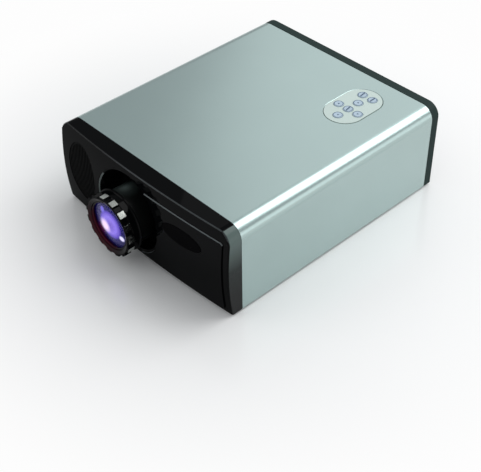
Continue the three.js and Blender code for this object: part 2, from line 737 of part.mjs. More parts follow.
function speakerMagnet() {
  const front = speakerBack + FIT;
  return rodAlongY(magnetRadius, front, front + MAGNET_LENGTH, ROUND_MEDIUM, grilleX, grilleZ);
}

// Lens

function lensMount() {
  const bore = barrelRadius + FIT;
  return turnedAlongY([
    [bore, collarFront],
    [collarRadius, collarFront],
    [collarRadius, FIT],
    [collarRadius + COLLAR_FLANGE_REACH, FIT],
    [collarRadius + COLLAR_FLANGE_REACH, FIT + COLLAR_FLANGE],
    [collarRadius, FIT + COLLAR_FLANGE],
    [collarRadius, collarBack],
    [bore, collarBack],
  ], ROUND_LARGE, lensX, lensZ);
}

const glassFront = bellFront + RETAINER_LENGTH + RETAINER_GAP;
const glassSeat = glassFront + FRONT_GLASS_EDGE + FIT;
const barrelBore = barrelRadius - BARREL_WALL;
const bellBore = bellRadius - BELL_WALL;

function lensBarrel() {
  return turnedAlongY([
    [bellBore, bellFront],
    [bellRadius, bellFront],
    [bellRadius, bellBack],
    [barrelRadius, bellBack],
    [barrelRadius, BARREL_REACH],
    [barrelBore, BARREL_REACH],
    [barrelBore, glassSeat],
    [bellBore, glassSeat],
  ], ROUND_LARGE, lensX, lensZ);
}

// A round lens with a cylindrical edge, domed at the front and at the back.
function lensElement(radius, front, edge, rise, x, z) {
  const frontDome = crown(radius, -front, rise, DOME_STEPS).map(([r, h]) => [r, -h]);
  const backDome = crown(radius, front + edge, rise, DOME_STEPS).reverse();
  return turnedAlongY([...backDome, ...frontDome], ROUND_MEDIUM, x, z);
}

function frontLens() {
  const dome = crown(bellBore - FIT, -glassFront, FRONT_GLASS_RISE, CORNER_STEPS).map(([r, h]) => [r, -h]);
  const back = glassFront + FRONT_GLASS_EDGE;
  return turnedAlongY([[0, back], [bellBore - FIT, back], ...dome], ROUND_LARGE, lensX, lensZ);
}

function rearLens() {
  return lensElement(barrelBore - FIT, REAR_GLASS_PLACE, REAR_GLASS_EDGE, REAR_GLASS_RISE, lensX, lensZ);
}

function lensRetainer() {
  const outer = bellBore - FIT;
  const inner = outer - RETAINER_WALL;
  const back = bellFront + RETAINER_LENGTH;
  return turnedAlongY([
    [inner, bellFront],
    [outer, bellFront],
    [outer, back],
    [inner, back],
  ], ROUND_LARGE, lensX, lensZ);
}

function focusRing() {
  const base = ringRadius - GRIP_RISE;
  const turn = (2 * Math.PI) / GRIP_COUNT;
  const first = THREE.MathUtils.degToRad(GRIP_FIRST_ANGLE);
  const half = (turn * GRIP_WIDTH_SHARE) / 2;
  const slope = turn * GRIP_SLOPE_SHARE;
  const outline = new THREE.Shape();
  for (let i = 0; i < GRIP_COUNT; i += 1) {
    const middle = first + i * turn;
    const corners = [
      [base, -half - slope],
      [ringRadius, -half],
      [ringRadius, half],
      [base, half + slope],
    ];
    for (const [radius, angle] of corners) {
      const x = lensX + radius * Math.cos(middle + angle);
      const z = lensZ + radius * Math.sin(middle + angle);
      if (outline.curves.length === 0 && outline.currentPoint.lengthSq() === 0) outline.moveTo(x, z);
      else outline.lineTo(x, z);
    }
  }
  outline.closePath();
  const inner = bellRadius + RUNNING_GAP;
  const grips = alongY(outline, lensFront, ringBack);
  const bore = turnedAlongY([
    [0, lensFront - OVERRUN],
    [lipBore, lensFront - OVERRUN],
    [lipBore, bellFront - RUNNING_GAP],
    [inner, bellFront - RUNNING_GAP],
    [inner, bellBack + RUNNING_GAP],
    [barrelRadius + FIT, bellBack + RUNNING_GAP],
    [barrelRadius + FIT, ringBack + OVERRUN],
    [0, ringBack + OVERRUN],
  ], ROUND_LARGE, lensX, lensZ);
  return cut(grips, bore);
}

// Light engine

function lightTunnel() {
  const half = TUNNEL_WIDTH / 2;
  const rise = tunnelHeight / 2;
  const outside = block(lensX - half, lensX + half, tunnelFront, tunnelBack, lensZ - rise, lensZ + rise);
  const inner = half - TUNNEL_WALL;
  const high = rise - TUNNEL_WALL;
  const front = tunnelFront + TUNNEL_WALL;
  const back = tunnelBack + OVERRUN;
  const inside = block(lensX - inner, lensX + inner, front, back, lensZ - high, lensZ + high);
  const lightHole = barrelRadius - TUNNEL_WINDOW_LIP;
  const hole = rodAlongY(lightHole, tunnelFront - OVERRUN, front + OVERRUN, ROUND_MEDIUM, lensX, lensZ);
  return cut(outside, inside, hole);
}

// A sheet that fills the tunnel at a place along it.
function tunnelSheet(place) {
  const half = TUNNEL_WIDTH / 2 - TUNNEL_WALL - FIT;
  const rise = tunnelHeight / 2 - TUNNEL_WALL - FIT;
  const y = tunnelFront + place;
  return block(lensX - half, lensX + half, y, y + TUNNEL_WALL, lensZ - rise, lensZ + rise);
}

function condenserLens() {
  const radius = tunnelHeight / 2 - TUNNEL_WALL - FIT;
  const y = tunnelFront + CONDENSER_PLACE;
  return lensElement(radius, y, CONDENSER_EDGE, CONDENSER_RISE, lensX, lensZ);
}

const sourceBack = tunnelBack + FIT + SOURCE_PLATE;
const sinkFront = sourceBack + FIT;

function lightSource() {
  const half = TUNNEL_WIDTH / 2;
  const rise = tunnelHeight / 2;
  const front = tunnelBack + FIT;
  const plate = block(lensX - half, lensX + half, front, sourceBack, lensZ - rise, lensZ + rise);
  const middle = (front + sourceBack) / 2;
  return join(plate, rodAlongY(SOURCE_RADIUS, front - SOURCE_REACH, middle, ROUND_MEDIUM, lensX, lensZ));
}

// A comb of fins on a base plate, seen from above.
function heatSink() {
  const half = TUNNEL_WIDTH / 2;
  const baseBack = sinkFront + SINK_BASE;
  const finBack = baseBack + SINK_FIN_LENGTH;
  const pitch = (TUNNEL_WIDTH - SINK_FIN) / (SINK_FIN_COUNT - 1);
  const shape = new THREE.Shape();
  shape.moveTo(lensX - half, sinkFront);
  shape.lineTo(lensX + half, sinkFront);
  for (let i = 0; i < SINK_FIN_COUNT; i += 1) {
    const right = lensX + half - i * pitch;
    if (i > 0) shape.lineTo(right, baseBack);
    shape.lineTo(right, finBack);
    shape.lineTo(right - SINK_FIN, finBack);
    if (i < SINK_FIN_COUNT - 1) shape.lineTo(right - SINK_FIN, baseBack);
  }
  shape.closePath();
  return alongZ(shape, lensZ - tunnelHeight / 2, lensZ + tunnelHeight / 2);
}

// Fan

function fanFrame() {
  const bore = rodAlongY(fanBore, fanFront - OVERRUN, fanBack + OVERRUN, ROUND_LARGE, fanX, fanZ);
  const outside = alongY(roundedRectangle(fanSize, fanSize, FAN_CORNER, fanX, fanZ), fanFront, fanBack);
  const plateBack = fanFront + FAN_MOTOR_PLATE;
  const motor = rodAlongY(FAN_HUB, fanFront, plateBack, ROUND_MEDIUM, fanX, fanZ);
  const axle = rodAlongY(FAN_AXLE, fanFront, plateBack + FAN_AXLE_LENGTH, ROUND_SMALL, fanX, fanZ);
  const struts = [];
  const reach = (fanBore + fanSize / 2) / 2;
  for (let i = 0; i < FAN_STRUT_COUNT; i += 1) {
    const angle = (i + 1 / 2) * ((2 * Math.PI) / FAN_STRUT_COUNT);
    const half = FAN_STRUT / 2;
    const strut = block(FAN_HUB / 2, reach, fanFront, plateBack, -half, half);
    struts.push(strut.rotateY(-angle).translate(fanX, 0, fanZ));
  }
  return join(cut(outside, bore), motor, axle, ...struts);
}

function fanRotor() {
  const front = fanFront + FAN_MOTOR_PLATE + RUNNING_GAP;
  const back = front + FAN_ROTOR_LENGTH;
  const middle = (front + back) / 2;
  const bore = FAN_AXLE + FIT;
  const bottom = fanFront + FAN_MOTOR_PLATE + FAN_AXLE_LENGTH + RUNNING_GAP;
  const hub = turnedAlongY([
    [0, bottom],
    [bore, bottom],
    [bore, front],
    [FAN_HUB, front],
    [FAN_HUB, back],
    [0, back],
  ], ROUND_MEDIUM, 0, 0);
  const tip = fanBore - FAN_BLADE_TIP_GAP;
  const blades = [];
  for (let i = 0; i < FAN_BLADE_COUNT; i += 1) {
    const chord = FAN_BLADE_CHORD / 2;
    const half = FAN_BLADE / 2;
    const blade = block(FAN_HUB - FAN_BLADE_ROOT, tip, -chord, chord, -half, half);
    blade.rotateX(THREE.MathUtils.degToRad(FAN_BLADE_PITCH)).translate(0, middle, 0);
    blades.push(blade.rotateY((i * 2 * Math.PI) / FAN_BLADE_COUNT));
  }
  return join(hub, ...blades).translate(fanX, 0, fanZ);
}

// Rings and two crossing bars over the outlet, with a border that rests on the rear panel.
function fanGuard() {
  const front = rearPanelBack + FIT;
  const back = front + GUARD_WIRE;
  const outer = fanOutlet + GUARD_BORDER;
  const radii = [];
  for (let i = 1; i < GUARD_RING_COUNT; i += 1) {
    radii.push(GUARD_HUB + (i * (fanOutlet - GUARD_HUB)) / GUARD_RING_COUNT);
  }
  const ring = (inner, outside) => {
    const profile = [[inner, front], [outside, front], [outside, back], [inner, back]];
    return turnedAlongY(profile, ROUND_MEDIUM, fanX, fanZ);
  };
  const bars = [0, Math.PI / 2].map((angle) => {
    const reach = fanOutlet + GUARD_BORDER / 2;
    return block(-reach, reach, front, back, -GUARD_WIRE / 2, GUARD_WIRE / 2)
      .rotateY(angle + Math.PI / 4)
      .translate(fanX, 0, fanZ);
  });
  const hub = rodAlongY(GUARD_HUB, front, back, ROUND_MEDIUM, fanX, fanZ);
  const wires = radii.map((radius) => ring(radius, radius + GUARD_WIRE));
  return join(ring(fanOutlet, outer), hub, ...wires, ...bars);
}

// Rear

const rearInner = REAR_WALL + FIT;

function rearBezel() {
  const outside = alongY(archShape(0, 0), backJoint, backJoint + REAR_DEPTH);
  const ledgeBack = backJoint + REAR_LEDGE_THICKNESS;
  const mouth = alongY(archShape(REAR_WALL, REAR_WALL), ledgeBack, backJoint + REAR_DEPTH + OVERRUN);
  const inset = REAR_WALL + REAR_LEDGE;
  const hole = alongY(archShape(inset, inset), backJoint - OVERRUN, ledgeBack + OVERRUN);
  const fanHole = block(
    fanX - fanSize / 2 - FIT,
    fanX + fanSize / 2 + FIT,
    backJoint - OVERRUN,
    ledgeBack + OVERRUN,
    fanZ - fanSize / 2 - FIT,
    fanZ + fanSize / 2 + FIT,
  );
  return cut(outside, mouth, hole, fanHole, ...screwPlaces.map(([x, z]) => screwHole(x, z)));
}

const screwX = halfWidth - SCREW_INSET;
const screwTop = SHELL_HEIGHT - SCREW_INSET - TOP_RADIUS / 2;
const screwPlaces = [[-screwX, SCREW_INSET], [screwX, SCREW_INSET], [-screwX, screwTop], [screwX, screwTop]];
const screwHole = (x, z) =>
  rodAlongY(SCREW_SHANK + FIT, backJoint - OVERRUN, rearPanelBack + OVERRUN, ROUND_SMALL, x, z);

function rearScrew(x, z) {
  const seat = rearPanelBack + FIT;
  return turnedAlongY([
    [0, seat - SCREW_LENGTH],
    [SCREW_SHANK, seat - SCREW_LENGTH],
    [SCREW_SHANK, seat],
    [SCREW_HEAD, seat],
    [SCREW_HEAD, seat + SCREW_HEAD_HEIGHT],
    [0, seat + SCREW_HEAD_HEIGHT],
  ], ROUND_SMALL, x, z);
}

function rearPanel() {
  const sheet = alongY(archShape(rearInner, rearInner), rearPanelFront, rearPanelBack);
  const from = rearPanelFront - OVERRUN;
  const to = rearPanelBack + OVERRUN;
  const hole = (shape) => alongY(shape, from, to);
  const cuts = [
    rodAlongY(fanOutlet, from, to, ROUND_LARGE, fanX, fanZ),
    hole(chamferedShape(INLET_WIDTH + 2 * FIT, INLET_HEIGHT + 2 * FIT, INLET_CHAMFER, inletX, INLET_Z)),
    block(
      inletX - SWITCH_WIDTH / 2 - FIT,
      inletX + SWITCH_WIDTH / 2 + FIT,
      from,
      to,
      switchZ - SWITCH_HEIGHT / 2 - FIT,
      switchZ + SWITCH_HEIGHT / 2 + FIT,
    ),
    hole(slantedShape(FIT)),
    ...phonoPlaces.map((x) => rodAlongY(PHONO_BARREL + FIT, from, to, ROUND_SMALL, x, PHONO_Z)),
    ...screwPlaces.map(([x, z]) => screwHole(x, z)),
  ];
  return cut(sheet, ...cuts);
}

// Mains inlet: a rectangle whose two upper corners are cut off.
function chamferedShape(width, height, chamfer, x, z) {
  const half = width / 2;
  const rise = height / 2;
  const shape = new THREE.Shape();
  shape.moveTo(x - half, z - rise);
  shape.lineTo(x + half, z - rise);
  shape.lineTo(x + half, z + rise - chamfer);
  shape.lineTo(x + half - chamfer, z + rise);
  shape.lineTo(x - half + chamfer, z + rise);
  shape.lineTo(x - half, z + rise - chamfer);
  shape.closePath();
  return shape;
}

function mainsInlet() {
  const seat = rearPanelBack + FIT;
  const mouth = seat + INLET_FLANGE_THICKNESS;
  const flangeWidth = INLET_WIDTH + 2 * INLET_FLANGE;
  const flangeHeight = INLET_HEIGHT + 2 * INLET_FLANGE;
  const flangeOutline = roundedRectangle(flangeWidth, flangeHeight, INLET_FLANGE, inletX, INLET_Z);
  const flange = alongY(flangeOutline, seat, mouth);
  const back = mouth - INLET_DEPTH;
  const body = alongY(chamferedShape(INLET_WIDTH, INLET_HEIGHT, INLET_CHAMFER, inletX, INLET_Z), back, mouth);
  const floor = mouth - INLET_CAVITY;
  const width = INLET_WIDTH - 2 * INLET_WALL;
  const height = INLET_HEIGHT - 2 * INLET_WALL;
  const cavityOutline = chamferedShape(width, height, INLET_CHAMFER, inletX, INLET_Z);
  const cavity = alongY(cavityOutline, floor, mouth + OVERRUN);
  const pins = [[-1, -1], [0, 1], [1, -1]].map(([side, up]) => {
    const x = inletX + side * INLET_PIN_PITCH;
    const z = INLET_Z + up * INLET_PIN_LIFT;
    const half = INLET_PIN_THICKNESS / 2;
    const rise = INLET_PIN / 2;
    return block(x - half, x + half, floor - INLET_WALL, floor + INLET_PIN_LENGTH, z - rise, z + rise);
  });
  return join(cut(join(flange, body), cavity), ...pins);
}

// Power switch: a cup with a flange, and a rocker that turns on two pins in its side walls

const pivotY = rearPanelBack + FIT + SWITCH_FLANGE_THICKNESS - ROCKER_PIVOT_DEPTH;

function switchFrame() {
  const seat = rearPanelBack + FIT;
  const mouth = seat + SWITCH_FLANGE_THICKNESS;
  const half = SWITCH_WIDTH / 2;
  const rise = SWITCH_HEIGHT / 2;
  const wide = half + SWITCH_FLANGE;
  const high = rise + SWITCH_FLANGE;
  const flange = block(inletX - wide, inletX + wide, seat, mouth, switchZ - high, switchZ + high);
  const back = mouth - SWITCH_DEPTH;
  const body = block(inletX - half, inletX + half, back, mouth, switchZ - rise, switchZ + rise);
  const bore = half - SWITCH_WALL;
  const reach = rise - SWITCH_WALL;
  const floor = back + SWITCH_WALL;
  const end = mouth + OVERRUN;
  const cavity = block(inletX - bore, inletX + bore, floor, end, switchZ - reach, switchZ + reach);
  const hole = rodAlongX(ROCKER_PIN + FIT, inletX - wide, inletX + wide, ROUND_SMALL, pivotY, switchZ);
  return cut(join(flange, body), cavity, hole);
}

// The rocker's side outline: a belly round its pivot, and a face of two slopes that meet in a shallow valley.
function powerRocker() {
  const reach = SWITCH_HEIGHT / 2 - SWITCH_WALL - ROCKER_END_GAP;
  const valley = ROCKER_PIVOT_DEPTH - ROCKER_RISE;
  const outline = [
    [ROCKER_RISE + valley, reach],
    [valley, 0],
    [ROCKER_RISE + valley, -reach],
    [0, -reach],
    [-ROCKER_BELLY, -ROCKER_BELLY],
    [-ROCKER_BELLY, ROCKER_BELLY],
    [0, reach],
  ];
  const tilt = THREE.MathUtils.degToRad(ROCKER_TRAVEL / 2);
  const shape = new THREE.Shape();
  outline.forEach(([y, z], index) => {
    const turnedY = y * Math.cos(tilt) - z * Math.sin(tilt);
    const turnedZ = y * Math.sin(tilt) + z * Math.cos(tilt);
    if (index === 0) shape.moveTo(turnedZ, turnedY);
    else shape.lineTo(turnedZ, turnedY);
  });
  shape.closePath();
  const half = SWITCH_WIDTH / 2 - SWITCH_WALL - FIT;
  const options = { depth: 2 * half, bevelEnabled: false };
  const body = new THREE.ExtrudeGeometry(shape, options).translate(0, 0, -half).rotateY(-Math.PI / 2);
  body.translate(inletX, pivotY, switchZ);
  const pin = SWITCH_WIDTH / 2 - FIT;
  return join(body, rodAlongX(ROCKER_PIN, inletX - pin, inletX + pin, ROUND_SMALL, pivotY, switchZ));
}

// Computer socket: a flat plate, a shell with slanted ends and two posts

function slantedShape(grow) {
  const half = COMPUTER_SHELL_WIDTH / 2 + grow;
  const rise = COMPUTER_SHELL_HEIGHT / 2 + grow;
  const shape = new THREE.Shape();
  shape.moveTo(computerX - half + COMPUTER_SHELL_SLANT, COMPUTER_Z - rise);
  shape.lineTo(computerX + half - COMPUTER_SHELL_SLANT, COMPUTER_Z - rise);
  shape.lineTo(computerX + half, COMPUTER_Z + rise);
  shape.lineTo(computerX - half, COMPUTER_Z + rise);
  shape.closePath();
  return shape;
}

function computerSocket() {
  const seat = rearPanelBack + FIT;
  const outside = seat + COMPUTER_FLANGE;
  const half = computerWidth / 2;
  const rise = COMPUTER_HEIGHT / 2;
  const plate = block(computerX - half, computerX + half, seat, outside, COMPUTER_Z - rise, COMPUTER_Z + rise);
  const shell = alongY(slantedShape(0), seat - COMPUTER_BODY, outside + COMPUTER_SHELL_REACH);
  const posts = [-1, 1].map((side) => {
    const x = computerX + (side * postPitch) / 2;
    return rodAlongY(COMPUTER_POST, seat, outside + COMPUTER_POST_REACH, COMPUTER_POST_SIDES, x, COMPUTER_Z);
  });
  return join(plate, shell, ...posts);
}

const phonoPlaces = Array.from({ length: PHONO_COUNT }, (_, index) => phonoX + index * PHONO_PITCH);

function phonoSocket(x) {
  const seat = rearPanelBack + FIT;
  const collar = seat + PHONO_COLLAR_THICKNESS;
  const tip = seat + PHONO_REACH;
  return turnedAlongY([
    [0, seat - PHONO_BODY],
    [PHONO_BARREL, seat - PHONO_BODY],
    [PHONO_BARREL, seat],
    [PHONO_COLLAR, seat],
    [PHONO_COLLAR, collar],
    [PHONO_BARREL, collar],
    [PHONO_BARREL, tip],
    [PHONO_BORE, tip],
    [PHONO_BORE, seat],
    [0, seat],
  ], ROUND_SMALL, x, PHONO_Z);
}

// Keypad

const keyPlaces = {
  enter_key: [0, 0],
  left_key: [-keyPitchAcross, 0],
  right_key: [keyPitchAcross, 0],
  up_key: [0, keyPitchAlong],
  down_key: [0, -keyPitchAlong],
  menu_key: [-keyPairPitch / 2, keyPairOffset],
  source_key: [keyPairPitch / 2, keyPairOffset],
};

function keypadPlate() {
  const width = keypadWidth + 2 * KEYPAD_FLANGE;
  const length = keypadLength + 2 * KEYPAD_FLANGE;
  const steps = ROUND_SMALL / 2;
  const face = alongZ(obround(keypadWidth, keypadLength, keypadX, keypadY), flangeBottom, keypadTop, steps);
  const flange = alongZ(obround(width, length, keypadX, keypadY), flangeBottom, flangeTop, steps);
  const holeRadius = KEY_RADIUS + FIT;
  const holes = Object.values(keyPlaces).map(([dx, dy]) =>
    rodAlongZ(holeRadius, flangeBottom - OVERRUN, keypadTop + OVERRUN, ROUND_SMALL, keypadX + dx, crossY + dy));
  return cut(join(face, flange), ...holes);
}

function keyCap([dx, dy]) {
  const top = keypadTop + KEY_PROUD;
  const skirt = KEY_RADIUS + KEY_SKIRT;
  return turnedAlongZ([
    [0, skirtBottom],
    [skirt, skirtBottom],
    [skirt, skirtTop],
    [KEY_RADIUS, skirtTop],
    [KEY_RADIUS, top - KEY_EDGE],
    [KEY_RADIUS - KEY_EDGE, top],
    [0, top],
  ], ROUND_SMALL, keypadX + dx, crossY + dy);
}

// A rubber tray under the keys, whose rim rests against the keypad plate.
function keyMat() {
  const width = keypadWidth + 2 * KEYPAD_FLANGE;
  const length = keypadLength + 2 * KEYPAD_FLANGE;
  const steps = ROUND_SMALL / 2;
  const tray = alongZ(obround(width, length, keypadX, keypadY), matBottom, flangeBottom - FIT, steps);
  const hollow = obround(width - 2 * MAT_RIM, length - 2 * MAT_RIM, keypadX, keypadY);
  return cut(tray, alongZ(hollow, matTop, flangeBottom + OVERRUN, steps));
}

function keyBoard() {
  const width = keypadWidth + 2 * KEYPAD_FLANGE;
  const length = keypadLength + 2 * KEYPAD_FLANGE;
  const top = matBottom - FIT;
  return alongZ(obround(width, length, keypadX, keypadY), top - BOARD_THICKNESS, top, ROUND_SMALL / 2);
}

// Boards and what stands on them

const boardTop = boardBottom + BOARD_THICKNESS;

function mainBoard() {
  const front = MAIN_BOARD_FRONT;
  return block(
    mainBoardX,
    mainBoardX + mainBoardWidth,
    front,
    front + MAIN_BOARD_LENGTH,
    boardBottom,
    boardTop,
  );
}

function mainChip() {
  const x = mainBoardX + mainBoardWidth / 2;
  const y = MAIN_BOARD_FRONT + MAIN_BOARD_LENGTH / 2;
  const half = CHIP_SIZE / 2;
  return block(x - half, x + half, y - half, y + half, boardTop + FIT, boardTop + FIT + CHIP_HEIGHT);
}

function powerBoard() {
  const front = POWER_BOARD_FRONT;
  return block(
    powerBoardX,
    powerBoardX + powerBoardWidth,
    front,
    front + POWER_BOARD_LENGTH,
    boardBottom,
    boardTop,
  );
}

function transformer() {
  const x = powerBoardX + powerBoardWidth / 2;
  const y = POWER_BOARD_FRONT + TRANSFORMER_INSET;
  const half = transformerWidth / 2;
  const bottom = boardTop + FIT;
  return block(x - half, x + half, y, y + TRANSFORMER_LENGTH, bottom, bottom + TRANSFORMER_HEIGHT);
}

function smoothingCapacitor() {
  const x = powerBoardX + powerBoardWidth / 2;
  const y = POWER_BOARD_FRONT + POWER_BOARD_LENGTH - CAPACITOR_INSET;
  const bottom = boardTop + FIT;
  return rodAlongZ(CAPACITOR_RADIUS, bottom, bottom + CAPACITOR_HEIGHT, ROUND_SMALL, x, y);
}

function foot(side, y) {
  const x = side * (halfWidth - FOOT_INSET);
  return turnedAlongZ([
    [0, 0],
    [FOOT_RADIUS, 0],
    [FOOT_RADIUS - FOOT_TAPER, -FOOT_DROP],
    [0, -FOOT_DROP],
  ], ROUND_SMALL, x, y);
}

// The object, piece by piece

add('top_shell', topShell(), silver);
add('bottom_plate', bottomPlate(), zincSheet);
add('front_bezel', frontBezel(), glossBlack);
add('front_panel', frontPanel(), glossBlack);
add('infrared_window', infraredWindow(), smokedPlastic);
add('infrared_receiver', infraredReceiver(), satinBlack);
add('speaker_grille', speakerGrille(), satinBlack);
add('speaker_basket', speakerBasket(), steel);
add('speaker_cone', speakerCone(), paperCone);
add('speaker_magnet', speakerMagnet(), steel);
add('lens_mount', lensMount(), satinBlack);
add('lens_barrel', lensBarrel(), satinBlack);
add('front_lens', frontLens(), glass);
add('rear_lens', rearLens(), glass);
add('lens_retaining_ring', lensRetainer(), satinBlack);
add('focus_ring', focusRing(), glossBlack);
add('light_tunnel', lightTunnel(), zincSheet);
add('front_fresnel_lens', tunnelSheet(FRONT_FRESNEL_PLACE), clearPlastic);
add('liquid_crystal_panel', tunnelSheet(CRYSTAL_PLACE), smokedPlastic);
add('rear_fresnel_lens', tunnelSheet(REAR_FRESNEL_PLACE), clearPlastic);
add('condenser_lens', condenserLens(), clearPlastic);
add('light_source', lightSource(), aluminium);
add('heat_sink', heatSink(), aluminium);
add('fan_frame', fanFrame(), satinBlack);
add('fan_rotor', fanRotor(), satinBlack);
add('fan_guard', fanGuard(), steel);
add('rear_bezel', rearBezel(), glossBlack);
add('rear_panel', rearPanel(), satinBlack);
screwPlaces.forEach(([x, z], index) => add(`rear_screw_${index + 1}`, rearScrew(x, z), steel));
add('mains_inlet', mainsInlet(), satinBlack);
add('switch_frame', switchFrame(), satinBlack);
add('power_rocker', powerRocker(), glossBlack);
add('computer_socket', computerSocket(), steel);
const phonoFinishes = [yellowPlastic, whitePlastic, redPlastic];
phonoPlaces.forEach((x, index) => add(`phono_socket_${index + 1}`, phonoSocket(x), phonoFinishes[index]));
add('keypad_plate', keypadPlate(), keypadGrey);
for (const [name, place] of Object.entries(keyPlaces)) add(name, keyCap(place), keyBlue);
add('key_mat', keyMat(), rubber);
add('key_board', keyBoard(), boardGreen);
add('main_board', mainBoard(), boardGreen);
add('main_chip', mainChip(), satinBlack);
add('power_board', powerBoard(), boardGreen);
add('transformer', transformer(), copper);
add('smoothing_capacitor', smoothingCapacitor(), aluminium);
const footYs = [FOOT_INSET, backJoint - FOOT_INSET];
footYs.forEach((y, row) => [-1, 1].forEach((side, column) => {
  add(`foot_${2 * row + column + 1}`, foot(side, y), rubber);
}));

// The origin goes to the middle of the footprint, at the height of the surface that the feet stand on.
const extent = new THREE.Box3().setFromObject(projector);
projector.position.y = -(extent.min.y + extent.max.y) / 2;
projector.position.z = FOOT_DROP;

const group = new THREE.Group();
group.add(projector);

export default group;
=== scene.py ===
# The looks of a table-top projector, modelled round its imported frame.
import math
from collections import namedtuple

import bmesh
import bpy
from bpy.props import FloatProperty, FloatVectorProperty, IntProperty, PointerProperty
from mathutils import Matrix, Vector


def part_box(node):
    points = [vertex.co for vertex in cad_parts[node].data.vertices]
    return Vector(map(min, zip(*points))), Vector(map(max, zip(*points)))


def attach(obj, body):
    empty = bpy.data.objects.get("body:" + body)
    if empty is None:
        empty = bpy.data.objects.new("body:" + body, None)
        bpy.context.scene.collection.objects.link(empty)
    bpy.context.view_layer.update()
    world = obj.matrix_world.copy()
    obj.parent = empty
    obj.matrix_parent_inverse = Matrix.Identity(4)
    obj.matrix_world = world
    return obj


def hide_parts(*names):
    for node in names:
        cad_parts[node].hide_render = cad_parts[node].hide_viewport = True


bl_info = {
    "name": "Table-top projector",
    "version": (1, 0, 0),
    "blender": (4, 5, 0),
    "location": "View3D > Sidebar > Projector",
    "description": "Models the outside of a silver table-top projector round its frame",
    "category": "Add Mesh",
}

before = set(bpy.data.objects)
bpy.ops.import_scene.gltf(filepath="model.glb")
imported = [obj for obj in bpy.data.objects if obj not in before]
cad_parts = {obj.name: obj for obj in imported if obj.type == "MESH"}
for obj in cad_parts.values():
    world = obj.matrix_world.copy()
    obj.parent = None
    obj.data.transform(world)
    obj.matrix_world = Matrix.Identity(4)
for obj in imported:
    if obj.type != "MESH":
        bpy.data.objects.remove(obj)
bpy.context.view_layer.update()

MM = 0.001
TURN = 2 * math.pi
# Places closer than TOUCH are one, cutting tools run past by OVERRUN, and REACH lies ahead of the whole front
TOUCH, OVERRUN, REACH = 0.01 * MM, 3 * MM, 60 * MM


def middle_of(node):
    """The middle of a node's box."""
    low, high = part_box(node)
    return (low + high) / 2


def half_of(node):
    """Half the size of a node's box."""
    low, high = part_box(node)
    return (high - low) / 2


# Places that come from the frame
SHELL_LOW, SHELL_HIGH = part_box("top_shell")
HALF_WIDTH = SHELL_HIGH.x
BASE = SHELL_LOW.z
TOP = SHELL_HIGH.z
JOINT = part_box("front_bezel")[1].y
LENS = middle_of("lens_mount")
FAN = middle_of("fan_guard")
KEYS = ("enter", "left", "right", "up", "down", "menu", "source")


# Sizes and colours that a user would change

def length(name, millimetres, description):
    """A length property with its default in millimetres."""
    return FloatProperty(name=name, description=description, default=millimetres * MM, unit="LENGTH")


def count(name, number, description):
    """A property that counts repeated things."""
    return IntProperty(name=name, description=description, default=number, min=1)


def angle(name, radians, description):
    """An angle property."""
    return FloatProperty(name=name, description=description, default=radians, subtype="ANGLE")


def plain(name, number, description):
    """A property without a unit."""
    return FloatProperty(name=name, description=description, default=number)


def linear(code):
    """The linear colour of an sRGB hex code."""
    parts = [int(code[i:i + 2], 16) / 255 for i in (1, 3, 5)]
    return tuple(p / 12.92 if p <= 0.04045 else ((p + 0.055) / 1.055) ** 2.4 for p in parts) + (1,)


def colour(name, code, description):
    """A colour property with its default as an sRGB hex code."""
    return FloatVectorProperty(
        name=name, description=description, default=linear(code), subtype="COLOR", size=4, min=0, max=1)


class ProjectorCase(bpy.types.PropertyGroup):
    """Sizes of the shell, the front bezel and what is let into it"""

    top_radius: length("Top radius", 14, "Bend between the top and the sides")
    sheet: length("Sheet", 2, "Thickness of the shell")
    hole_edge: length("Hole edge", 0.9, "Rounding of the keypad opening")
    edge_depth: length("Edge depth", 12.5, "Depth of the front bezel at its corners")
    bow_across: length("Bow across", 5.5, "Bow of the face from side to side")
    bow_up: length("Bow up", 4, "Bow of the face from bottom to top")
    wall: length("Wall", 3, "Wall of the front bezel")
    pocket: length("Pocket", 7, "Depth of the hollow behind the front bezel")
    ridge: length("Ridge", 1.5, "Rounding between the face and its sides")
    floor: length("Recess floor", 2.2, "Recess floor ahead of the joint")
    floor_radius: length("Floor radius", 36, "Radius of the recess at its floor")
    rim_radius: length("Rim radius", 43, "Radius of the recess at its rim")
    rim_lift: length("Rim lift", 5.5, "Height of the rim's middle over the lens axis")
    rim_round: length("Rim rounding", 1.3, "Rounding of the recess rim")
    boss: length("Boss", 4, "Wall round the recess floor")
    panel_proud: length("Panel proud", 1.2, "Height of the inlaid panel over the face")
    panel_thickness: length("Panel thickness", 4.4, "Thickness of the inlaid panel")
    panel_corner: length("Panel corner", 3, "Corner radius of the inlaid panel")
    panel_rim: length("Panel rim", 2.5, "Land between the recess and the panel")
    window_proud: length("Window proud", 0.3, "Height of the window over the panel")
    grille_sunk: length("Grille sunk", 0.6, "Depth of the grille below the face")
    grille_thickness: length("Grille thickness", 2.4, "Thickness of the grille")
    grille_rim: length("Grille rim", 1.8, "Plain border of the grille")
    slot_pitch: length("Slot pitch", 2.69, "Distance between grille slots")
    slot_width: length("Slot width", 1.3, "Width of a grille slot")
    slot_count: count("Slots", 15, "Number of grille slots")
    vent_count: count("Vents", 14, "Number of vent slots in the left side")
    vent_width: length("Vent width", 3, "Width of a vent slot")
    vent_pitch: length("Vent pitch", 7, "Distance between vent slots")
    vent_from_back: length("Vents from the back", 40, "Distance of the last vent slot from the rear")
    vent_bottom: length("Vent bottom", 26, "Height of the vent slots over the lower edge")
    vent_top: length("Vent top", 29, "Distance of the vent slots from the top")
    eye: length("Eye", 3.5, "Radius of the hole behind the window")
    gap: length("Gap", 0.3, "Clearance between fitted pieces")


